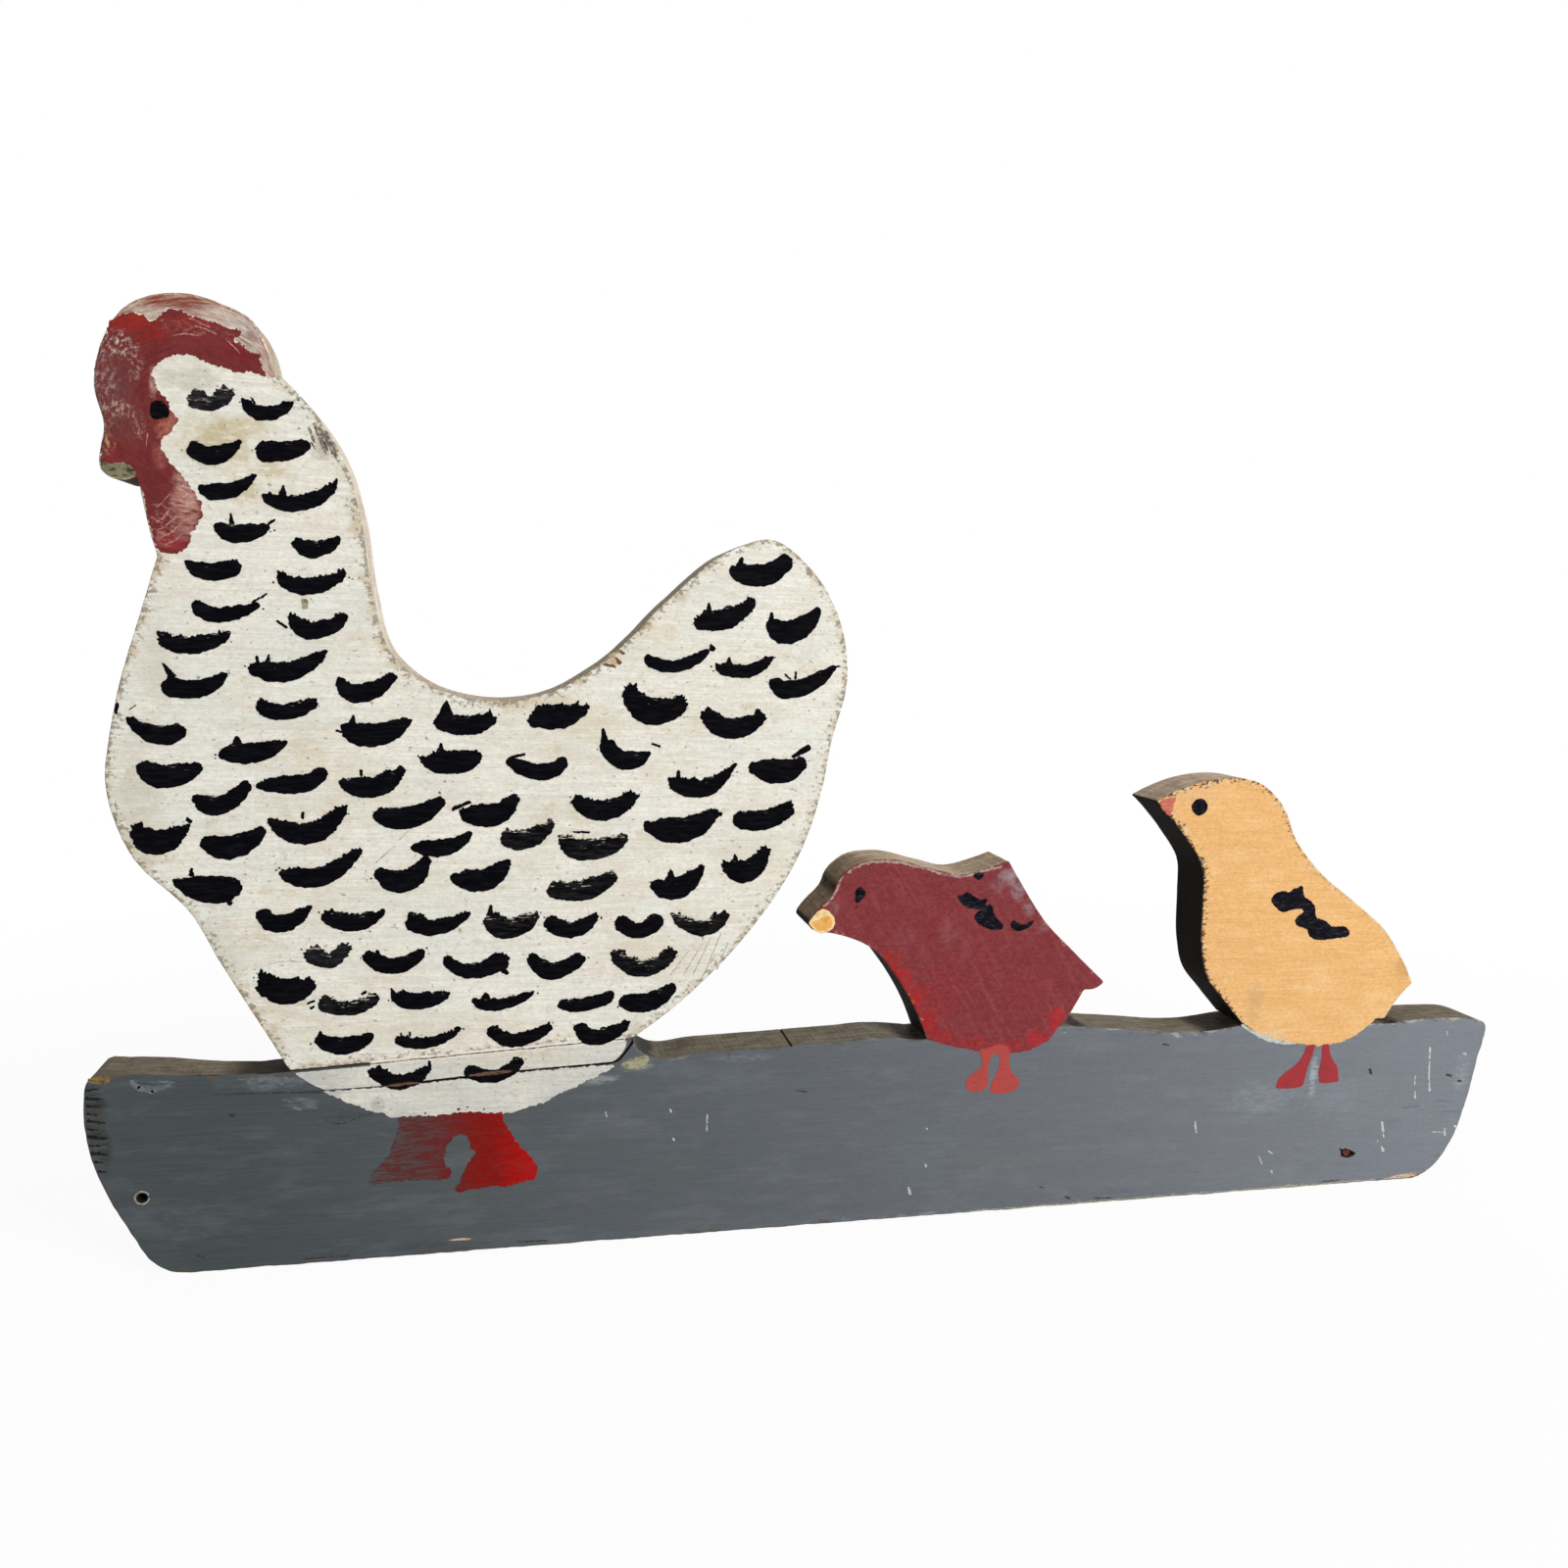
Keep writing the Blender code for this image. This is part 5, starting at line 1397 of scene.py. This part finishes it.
combLines = [    # the brush's last lines, pinkish where it lifted: round the comb, on face and wattle
    [(-264, 347.2), (-260, 346.2), (-256, 345)],
    [(-262.6, 344.8), (-258.4, 344.2), (-254, 342.6)],
    [(-252.6, 341.8), (-249.4, 339.6), (-247, 336.6)],
    [(-270.6, 340.4), (-265.6, 341.8), (-260, 341.6)],
    [(-273.6, 345.4), (-271, 346.6)],
    [(-284.8, 317.4), (-285.4, 312.4)], [(-283, 316.6), (-283.7, 311.6)],
    [(-281.2, 316.2), (-282.2, 312.4)], [(-279.6, 310.6), (-280.8, 306.4)],
    [(-277.4, 308.4), (-278.2, 303.6)], [(-276, 278.2), (-273.4, 279.8), (-270.6, 283.4)],
    [(-275.8, 275.4), (-272.4, 277), (-268.4, 281.4)], [(-275, 272.6), (-271, 274.6), (-266.8, 279)],
    [(-273.4, 270.4), (-270, 272), (-266.8, 275)], [(-275.4, 283), (-273.2, 285), (-270.8, 288.6)]]
paintMarks("hen_comb_brush_lines", [
    (ribbon(points, [0.25] + [0.5] * (len(points) - 2) + [0.25], step=0.6, sway=0.5, seed=number), combLine,
     0.11, 0.3, 0.7) for number, points in enumerate(combLines)])
paintMarks("hen_eye", [
    (rough([(-276.6, 316.4), (-275.4, 318.8), (-273.4, 319.3), (-271.5, 318), (-270.5, 316), (-271.1, 314),
            (-273.2, 313.2), (-275.7, 313.2), (-276.7, 314.7)]), black, 0.19, 0.4, 1.0),
])
napeRubs = """
-225.6 314 -223.6 308.6 1.2 .8
-223.8 315.8 -220.8 308.4 1.3 1.5
-222 314.6 -219.4 306.4 1.5 1.0
-220 313 -217.6 305.4 1.4 1.2
-218.4 310.4 -216.2 304.4 1.2 .8
-221.6 309 -219.6 304.8 1.0 .7
-224.8 309.4 -223.4 306.6 .7 .5
-217.4 306 -215.8 302.6 .8 .5
"""
henScratches = """
-240.4 119.8 -235.6 120.4 .3 .4
-235.2 120.5 -230.4 120.2 .4 .3
-71.6 127.6 -77.4 112.4 .4 .3
-75.6 126.4 -82.2 111.4 .3 .4
-79 124 -86.4 110.8 .4 .3
-68.4 124.4 -72.6 113 .3 .3
-84 121.6 -91.6 111 .3 .4
-73.4 119.4 -79.4 108.6 .4 .3
-196.4 164.2 -203.6 157.6 .3 .4
-189.8 171.8 -195.4 166 .3 .3
"""
henDots = [(-178.7, 188.6, 0.55), (-180.7, 184.3, 0.75), (-204, 241, 0.5), (-215.8, 131, 0.35),
           (-150.4, 205, 0.3)]
paintMarks("hen_rubs_and_flecks", [
    (outline, material, 0.05, 0.3, 0.7)
    for table, material in ((napeRubs, napeRub), (henScratches, paleScratch))
    for outline in tickOutlines(table)] + [
    (circle(x, z, radius, 12), hairBrown, 0.08, 0.15, 0.6) for x, z, radius in henDots] + [
    (tickOutline(-289.4, 215, -290.2, 211, 1.4, 1.0), black, 0.12, 0.3, 0.8),
    (tickOutline(-286.2, 212.4, -283.2, 214.8, 0.4, 0.5), hairBrown, 0.06, 0.3, 0.6),
    (tickOutline(-227.6, 254, -227.4, 250.4, 2.6, 2.0), greenDirt, 0.05, 0.35, 0.9),
    (tickOutline(-118.8, 237.2, -115, 239.2, 1.5, 1.1), seamDirt, 0.03, 0.35, 0.8),
    (tickOutline(-114.8, 239.9, -112.8, 238.5, 0.9, 1.3), hairBrown, 0.05, 0.35, 0.7),
    (tickOutline(-116.2, 237.2, -114.2, 234.6, 1.1, 1.8), hairBrown, 0.05, 0.35, 0.7),
    (tickOutline(-121, 234.5, -116, 233.7, 0.7, 1.2), hairBrown, 0.05, 0.35, 0.7),
])
print("hen painted")


# The hen's breast paint and feet on the base.

bellyLow = [(-222.5, 69.3), (-219, 67.4), (-215, 65), (-210, 62.6), (-204, 60.2), (-198, 57.6), (-190, 56.4),
            (-180, 55.8), (-172, 56), (-165, 56.2), (-157, 56.6), (-150, 57.8), (-145, 59.4), (-140, 60.8),
            (-136, 63), (-130, 65.6), (-126, 67.6), (-122, 69.4), (-117, 71.8), (-112.4, 74.4)]


def splitSide(x, sign):
    # where paint stops at x, above (1) or below (-1) the split's straight part, a hair's gap from it
    straight, gap = 11, 0.12    # points of the line, and mm
    xs, zs = zip(*splitLine[:straight])
    return np.interp(x, xs, zs) + sign * (np.interp(x, xs, splitWidth[:straight]) / 2 + gap)


seat = edgeRun("base_board", (-232.6, 77.3), (-107.6, 85), 0.5)
splitTop = [(x, splitSide(x, 1)) for x in np.arange(-114, -224, -3.0)]
splitBottom = [(x, splitSide(x, -1)) for x in np.arange(-222, -113, 3.0)]
bellyAbove = seat + [(-108.6, 82.2), (-110.2, 79.2), (-112, 77.4)] + splitTop + [(-226, 71.8), (-229.4, 74.2)]
bellyBelow = bellyLow + splitBottom[::-1]
footEdge = [(-196, 57.6), (-194.8, 53.5), (-197.4, 47), (-199, 42), (-203, 38), (-207.2, 31.8), (-204, 31),
            (-198, 31.4), (-188, 31.6), (-180, 30.8), (-177, 31.2), (-175.6, 33.4), (-176, 35.6),
            (-178.2, 37), (-178.5, 41), (-177, 45), (-174.4, 48.4), (-171.2, 49.5), (-169.4, 47.4),
            (-168.4, 43.8), (-166, 41), (-167.6, 39.4), (-169.6, 36.6), (-171, 33), (-172.6, 29),
            (-174.2, 26.4), (-172.4, 25.2), (-168, 26), (-160, 27.2), (-154, 26.6), (-148, 27.6),
            (-143.8, 28.8), (-141.8, 33), (-145, 38.2), (-150, 43.6), (-153.4, 48.6), (-155.4, 53),
            (-156.6, 57.2), (-164, 57.8), (-172, 58.6), (-181, 57.4), (-189, 57.8)]
footDrips = [(-173, 59.6, 0.8, 0.3), (-169.6, 60.2, 0.5, 0.2), (-185.4, 58.6, 0.6, 0.2),
             (-163.4, 59, 0.5, 0.2)]
paintMarks("hen_feet", [(footEdge, footRed, 0.13, 0.75, 1.3)] + [
    (rough(circle(x, z, radius, 9)), footRed, 0.15, ragged, 0.8) for x, z, radius, ragged in footDrips])
paintMarks("hen_belly_on_base", [
    (bellyBelow, lappedCream, 0.1, 0.7, 1.3),
    (bellyAbove, lappedCream, 0.1, 0.15, 1.6),
    (ribbon([(-169.5, 72.9), (-163, 73.6), (-156, 74), (-151.6, 74.6)], [0.8, 1.7, 1.6, 0.8]), splitWood,
     0.19, 0.25, 1.0),
    (ribbon([(-200.6, 70.2), (-196, 70.7), (-191, 71), (-186.6, 71.2)], [0.5, 1.3, 1.1, 0.5]), splitWood,
     0.19, 0.2, 0.9),
    (rough([(-110.6, 75.2), (-106, 76.6), (-102, 78.2), (-98.6, 78), (-100, 74.6), (-104, 72.8), (-108, 73)]),
     greenDirt, 0.06, 0.7, 1.2),
])


def seamLine(start, end, wide, lift):
    # a strip that follows the joint under the hen, lift mm above it, between her two lower corners
    corners = -234, -106
    run = [(x, z + lift) for x, z in edgeRun("base_board", start, end, 0) if corners[0] < x < corners[1]]
    return ribbon(run, wide, sway=0.3)


# the cream was painted over the joint, and only a brown line still shows right of the first brush stroke
paintMarks("hen_joint_paint", [
    (seamLine((-206, 78.9), (-108, 85.3), 2.6, 0.3), cream, 0.04, 0.35, 1.6),
    (seamLine((-206, 78.9), (-108, 85.3), 0.5, 0.3), seamBrown, 0.06, 0.2, 1.0),
])


# Scratches and small chips on the base: from, to, width at both ends.
baseScratches = """
274.2 66 274.6 60 1.1 1
274.8 59 275.6 50 .9 1.2
275.8 50 276.8 44 .7 1.3
267.6 52 268 47.5 .8 .8
268.6 44.5 268.9 40.5 .6 1
251.8 30 253.2 24.5 1.6 1.2
253.2 24 253.9 22 .6 .8
253 17.5 254.6 15 1.3 1.5
250 21 251 20 .6 .5
293.5 62.2 295.5 61.4 1.1 .8
282.6 73.6 283.6 71 1.1 .7
151.4 36 152.6 30.5 .9 .8
191 19.4 194 17.6 .6 .6
186.6 17 188.6 12.5 .5 .7
193.8 9.5 194.6 7.8 1 .7
-74.5 52 -74.5 48 .7 .6
-74.5 47.4 -74.4 44.6 .5 .7
-90 55.2 -89.4 53.6 .9 .6
-88.4 42.6 -87.6 41 .8 .5
-116 55.6 -115.4 52.8 .5 .5
21.8 24.2 22.4 22.4 1 .9
14.8 14 15.8 10.5 1.4 1
21.2 40.6 21.9 39.5 .7 .6
287.8 24.6 288.6 20.8 1.5 1.1
293.2 25.8 295 24.6 1.2 1.3
281 23.2 287 22.7 .3 .4
"""
baseChips = """
-255.8 62 -253.8 61.3 1.7 1.5
-268 6.8 -265 5.8 1.1 .8
241.6 57 242.8 54 1.5 1.6
285 52 288.4 51 1.2 1.5
292 48.8 294.6 47.8 1.3 1
131.5 73.5 134.8 72.8 .9 .9
-37 60.3 -32.6 59.4 .6 .7
89.2 4.4 91.8 3 .9 1.1
76 10 79 9 .6 .6
-216 56 -209.4 58.4 .8 .6
-222 57.4 -216.6 56 .5 .8
-207 59.4 -203 60.4 .5 .4
-230 2.4 -214 2.2 .7 .6
-150 2.6 -138 2.2 .5 .7
104 2.4 112 2 .5 .7
222 2 232 2.2 .6 .5
-286.6 75.9 -281 74.6 .9 .6
-262 70 -246 69.8 .25 .4
-246 69.8 -234 69.4 .4 .6
-234 69.4 -223 68.9 .6 .7
"""
baseDabs = """
-289 76.8 -286.2 73.6 1.6 2.2
-286.6 74 -281.6 72 2.2 1.8
-282 72.2 -275.4 74.6 1.8 1.0
-279.6 76 -274 75.4 .8 .6
-249.6 74.4 -248.2 74 .9 .8
-248.2 75.7 -246.8 75.1 .7 .6
-245.2 74.6 -244.2 74.2 1.2 .9
-245.4 72.6 -243.4 71.8 1.1 .8
-241 76 -239.6 75.4 .6 .5
-239.4 74.9 -238.2 74.4 .8 .7
-238.4 73.4 -236.8 72.6 1.2 1.0
-236.4 75.4 -234.8 74.8 .8 .6
-252.6 75.8 -250.4 75.2 .5 .5
-237 66.8 -233.4 65.6 .6 .5
-233.4 63.4 -230.4 62.4 1.2 .8
-232 67 -229 66.4 .8 .6
-228.6 64 -224.6 62.6 .5 .4
263 36.2 272 37 .6 .9
277 36.4 288 35.2 .35 .3
281 33.8 295 32.6 .35 .3
279 39 291 38 .3 .3
"""
baseEndLines = """
-303.9 73.6 -299.4 74.2 1.0 .5
-303.9 70.8 -297.8 70 1.5 .6
-303.9 67.8 -299 67.2 1.2 .5
-303.9 64.8 -300.4 64.4 .8 .5
-303.9 62.2 -297.6 61 1.4 .7
-303.9 59 -300.2 58.4 1.0 .5
-303.8 56.2 -297.4 55 1.7 .8
-303.4 52.8 -299.4 52.2 1.0 .5
-302.8 49.8 -297.2 48.8 1.5 .8
-302 46.4 -298.4 45.8 1.0 .5
-300.8 42.6 -297.8 42 1.0 .5
"""


scratchFilm = {"top": 0.03, "ragged": 0.35, "grain": 0.7, "step": 0.25}    # mm
bm = bmesh.new()
for index, table in enumerate((baseScratches, baseChips, baseEndLines, baseDabs)):
    for number, outline in enumerate(tickOutlines(table)):
        addFilm(bm, outline, index, 300 + number, **scratchFilm)
layFilms("base_scratches", bm, [primer, oldDirt, darkDirt, paleDab])
ringTurns = np.radians(np.arange(12, 366, 9))
paintMarks("base_bare_corners", [
    (ribbon([(screwHole["x"] + 2.5 * math.cos(a), screwHole["z"] + 2.5 * math.sin(a)) for a in ringTurns],
            0.55, step=0.5, sway=0.2), ringWood, 0.04, 0.2, 0.8),
    (rough([(-303.2, 78.2), (-299, 78.9), (-295.4, 78.4), (-295.8, 76.8), (-299.6, 76), (-303, 76.6)]), ochre,
     0.03, 0.4, 1.1),
    (ribbon([(40, 0.95), (90, 0.9), (150, 0.95), (210, 0.9), (252, 1)], [0.3, 0.6, 0.45, 0.7, 0.4], step=0.8,
            sway=0.3), greenDirt, 0.03, 0.35, 0.8),
    (rough([(256, 1.0), (262, 2.2), (268, 2.8), (274, 2.8), (277.4, 1.9), (275, 1.0), (266, 0.8)]), rawPine,
     0.03, 0.3, 1.2),
    (rough([(-178, 5.4), (-173, 5.9), (-167.6, 5.9), (-168, 5.2), (-173, 5.1)]), rawPine, 0.03, 0.15, 1.0),
])


# The red chick.

redUnder = [(20, 79.7), (30, 76.7), (42.2, 73.7), (59, 72.2), (67.8, 73.3), (75.6, 77.2), (80.8, 84)]
redUnderTop = [(82.6, 90), (74, 91.5), (60, 90.6), (44, 91.8), (30, 90.4), (16.9, 91)]
paintMarks("red_chick_paint_on_base", [
    (redUnder + redUnderTop, barnRed, 0.04, 0.5, 1.4),
    (rough([(43.6, 74.6), (44.9, 66.4), (41.4, 64.4), (38.3, 60.6), (38.6, 57.4), (41.4, 55.7), (46.1, 56),
            (47.8, 57.8), (48.6, 61.1), (48.2, 64.4), (48.2, 66.4), (49.1, 70.4), (50.4, 72.4),
            (52.6, 72.4), (53.4, 68.1), (52.4, 64.4), (51.2, 61.1), (49.7, 57.8), (49.8, 55.6),
            (51.9, 54.3), (56, 54.2), (61.6, 55.6), (63.4, 58.3), (62.2, 60.6), (59.7, 63.4), (57.8, 67.2),
            (57.7, 72.3), (57, 75), (52.6, 76.4), (47.4, 75.2)]), legPale, 0.13, 0.25, 1.2),
])
wornRed = ribbon(edgeRun("red_chick", (-18, 151), (50, 157), 0.9)[::3], 1.1, step=0.8, sway=0.7)
wornBrow = ribbon(edgeRun("red_chick", (-28.6, 138), (-18, 151), 0.9)[::3], 0.8, step=0.8, sway=0.5)
paintMarks("red_chick_marks", [
    (wornRed, rubbedRed, 0.03, 0.6, 0.9),
    (wornBrow, rubbedRed, 0.03, 0.5, 0.9),
    (rough([(-13.4, 146.9), (-11.2, 144), (-13, 141.2), (-14.4, 139.6), (-15.7, 140.2), (-15.5, 142.6),
            (-15.9, 145.2)]), blueBlack, 0.16, 0.25, 1.0),
    (rough(circle(-15, 138.3, 0.6, 8)), blueBlack, 0.12, 0.1, 0.8),
    (rough([(-34.8, 132.6), (-33, 134.9), (-30.6, 137.2), (-28.8, 137.6), (-26.4, 136.2), (-24.4, 134),
            (-23.9, 131.6), (-24.6, 129.4), (-27, 127.9), (-29.8, 127.3), (-32.4, 128.6), (-34.2, 130.4)]),
     beakPale, 0.13, 0.3, 1.2),
    (rough([(-34, 131.6), (-32.8, 133), (-31, 132.6), (-29.4, 134.6), (-27.6, 135), (-26, 133.6),
            (-25, 131.4), (-25.8, 129.4), (-28.6, 128.4), (-31.6, 129)]), beakYellow, 0.17, 0.5, 1.0),
    (rough([(29, 142.6), (31.6, 143), (33.6, 144.2), (36, 142.6), (39, 141), (43, 141), (42.6, 139.6),
            (41.4, 138.6), (43.4, 138), (44.2, 139.2), (45.2, 137.4), (46, 134.6), (48.6, 131.6),
            (50.8, 129), (50.4, 127.6), (46, 127.4), (42, 128.8), (38.6, 131), (37, 133.6), (39, 135.6),
            (40.2, 136.4), (36, 136.8), (32, 138.4), (30, 140.6)]), blueBlack, 0.16, 0.3, 1.0),
    (rough([(54, 129.4), (55, 131.8), (57.4, 130.4), (60.4, 129.4), (62.8, 130.8), (65, 131.6), (64, 129.4),
            (61, 127.4), (58, 126.8), (55, 127.8)]), blueBlack, 0.16, 0.3, 1.0),
    (rough([(35.6, 151.4), (37.4, 152.6), (40.6, 152), (39.6, 149.6), (37, 149.6)]), blueBlack,
     0.14, 0.3, 0.8),
])


# The yellow chick.

yellowUnder = [(172.1, 81.5), (179.7, 76.8), (189.1, 73.2), (200.9, 70.9), (212.6, 69.1), (224.4, 70.3),
               (232.6, 73.8), (239.7, 79.1), (244.5, 84)]
yellowUnderTop = [(250.6, 93), (238, 94.5), (220, 93.2), (200, 94.6), (182, 93.4), (166.4, 94)]
paintMarks("yellow_chick_paint_on_base", [
    (ribbon([(170.6, 81), (175, 78.6), (181, 75.4), (187, 73), (194, 71.6), (202, 70.6)],
            [0.8, 1.6, 2.2, 2.4, 1.8, 0.8]), wornPaint, 0.03, 0.4, 1.2),
    (yellowUnder + yellowUnderTop, straw, 0.05, 0.5, 1.4),
    (rough([(206.2, 70), (210.9, 70), (209.4, 64), (207.9, 59.1), (207, 54), (206.2, 49.9), (199, 49.2),
            (192.1, 49.7), (192.6, 53.4), (195, 56.2), (201.5, 60.9), (204.6, 65)]),
     legRed, 0.13, 0.25, 1.4),
    (rough([(214.4, 70), (217.9, 70), (218.8, 66.4), (220.3, 63.2), (223.8, 58.5), (225.4, 51.5),
            (220, 50.8), (215, 51.1), (214, 56.8), (214.8, 63)]), legRed, 0.13, 0.25, 1.4),
])
paintMarks("yellow_chick_marks", [
    (rough([(119.6, 183.2), (123.4, 184.8), (128, 185.6), (127, 181), (125.6, 176.6), (122, 179.6)]),
     beakRed, 0.1, 0.4, 1.2),
    (rough([(135.7, 181), (137.6, 184.3), (141.2, 184.6), (143.7, 181.6), (142.2, 178), (138.6, 177.4)]),
     blueBlack, 0.16, 0.25, 1.2),
    (rough([(180, 139), (181, 141.2), (183.4, 142.6), (186.4, 143), (189, 142.2), (191, 144.2),
            (193.4, 144.2), (194, 145.4), (195.6, 145.2), (196.2, 142.6), (197.4, 140), (200, 138.6),
            (202.8, 136), (203.6, 133.4), (204.2, 130.6), (207, 129.6), (210, 128.6), (212, 126.6),
            (216, 126), (220, 126.2), (221.6, 124.8), (222.8, 123.4), (222.4, 121.4), (219, 120.8),
            (213, 120.2), (208, 119.8), (203.4, 120.6), (201.2, 122.6), (200.6, 124.6), (197, 126),
            (194.4, 127.2), (193.4, 129.2), (195, 131.6), (197.6, 132.8), (196.8, 134.4), (193, 134.6),
            (189, 133.6), (186.4, 133.2), (183.4, 135), (181.2, 137)]),
     blueBlack, 0.16, 0.3, 1.1),
])
print("chicks painted")


# The broken nail.

nailLook = {"cuts": 2, "pitSize": 0.9, "pitDepth": 0.12}    # rust pits, in mm


def buildNail():
    bm = bmesh.new()
    bm.from_mesh(nodes["broken_nail"].data)
    bmesh.ops.remove_doubles(bm, verts=bm.verts[:], dist=1e-6)
    bmesh.ops.subdivide_edges(bm, edges=bm.edges[:], cuts=nailLook["cuts"], use_grid_fill=True)
    bm.normal_update()
    for vert in bm.verts:
        pit = max(0, noise.noise(vert.co / mm / nailLook["pitSize"])) * nailLook["pitDepth"]
        vert.co -= vert.normal * pit * mm
    bmesh.ops.triangulate(bm, faces=bm.faces[:])
    made = newObject("broken_nail_rusted", bm, [rust])
    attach(made, "root")
    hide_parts("broken_nail")


buildNail()


# Floor, light and camera.

def seenDirectly(tree):
    # 1 for what the camera, a gloss or a glass sees, 0 for the light that falls on the object
    rays = addNode(tree, "LightPath", {})
    seen = rays.outputs["Is Camera Ray"]
    for other in ("Is Glossy Ray", "Is Transmission Ray"):
        seen = addNode(tree, "Math", {"operation": "ADD", "use_clamp": True, 0: seen,
                                      1: rays.outputs[other]})
    return seen


def paperSweep():
    # matt white paper: the camera sees it white, with the object's shadow faint on it, and pure white
    # from clearTo metres on
    look = {"paper": "#F1F1EF", "clearNear": 0.94, "clearFrom": 0.38, "clearTo": 0.75}
    material = bpy.data.materials.new("white paper sweep")
    tree = emptyTree(material)
    paper = addNode(tree, "BsdfDiffuse", {"Color": look["paper"]})
    white = addNode(tree, "Emission", {"Color": "#FFFFFF", "Strength": 1.0})
    spot = addNode(tree, "TexCoord", {}).outputs["Object"]
    flat = addNode(tree, "VectorMath", {"operation": "LENGTH", 0: spot}).outputs["Value"]
    clear = addNode(tree, "MapRange", {"From Min": look["clearFrom"], "From Max": look["clearTo"],
                                       "To Min": look["clearNear"], "To Max": 1.0, "Value": flat})
    share = addNode(tree, "Math", {"operation": "MULTIPLY", 0: seenDirectly(tree), 1: clear})
    blend = addNode(tree, "MixShader", {0: share, 1: paper, 2: white})
    addNode(tree, "OutputMaterial", {"Surface": blend})
    return material


floorLook = {"reach": 6.0, "level": -0.0003}    # metres; a hair below the base's underside
bm = bmesh.new()
reach = floorLook["reach"]
bm.faces.new([bm.verts.new((x, y, floorLook["level"]))
              for x, y in ((-reach, -reach), (reach, -reach), (reach, reach), (-reach, reach))])
newObject("floor", bm, [paperSweep()])

roomLook = {"light": 0.3, "sheet": 1.0}
world = bpy.data.worlds.new("soft room")
bpy.context.scene.world = world
room = emptyTree(world)
roomLight = addNode(room, "Background", {"Color": "#FFFFFF", "Strength": roomLook["light"]})
whiteSheet = addNode(room, "Background", {"Color": "#FFFFFF", "Strength": roomLook["sheet"]})
roomMix = addNode(room, "MixShader", {0: seenDirectly(room), 1: roomLight, 2: whiteSheet})
addNode(room, "OutputWorld", {"Surface": roomMix})


# both lamps are large and soft, in metres and watts: daylight that is a little warm
lamps = {
    "window, upper right": {"spot": (1.5, -1.9, 1.7), "size": 0.9, "power": 69, "colour": (1.0, 0.985, 0.96)},
    "room behind": {"spot": (0.8, 2.2, 0.45), "size": 1.2, "power": 26, "colour": (1.0, 0.985, 0.96)}}
lampTarget = Vector((0, 0, 0.15))
for name, look in lamps.items():
    data = bpy.data.lights.new(name, "AREA")
    data.shape = "SQUARE"
    data.size = look["size"]
    data.energy = look["power"]
    data.color = look["colour"]
    lamp = bpy.data.objects.new(name, data)
    bpy.context.scene.collection.objects.link(lamp)
    lamp.location = look["spot"]
    lamp.rotation_euler = (lampTarget - lamp.location).to_track_quat("-Z", "Y").to_euler()
    lamp.visible_camera = False

cameraLook = {"lens": 27.0, "filmWidth": 36.0, "nearest": 0.01, "spot": (-0.1564, -0.4659, 0.2488),
              "right": (0.9731, -0.2265, 0.0414), "up": (-0.0113, 0.1327, 0.9911)}    # fitted to the photo
camera = bpy.data.objects.new("camera", bpy.data.cameras.new("camera"))
camera.data.lens = cameraLook["lens"]
camera.data.sensor_width = cameraLook["filmWidth"]
camera.data.clip_start = cameraLook["nearest"]
right, up = Vector(cameraLook["right"]), Vector(cameraLook["up"])
back = right.cross(up).normalized()
up = back.cross(right).normalized()
turned = Matrix((right, up, back)).transposed().to_4x4()
camera.matrix_world = Matrix.Translation(cameraLook["spot"]) @ turned
bpy.context.scene.collection.objects.link(camera)
bpy.context.scene.camera = camera
bpy.context.scene.view_settings.view_transform = "Standard"

print("scene ready")
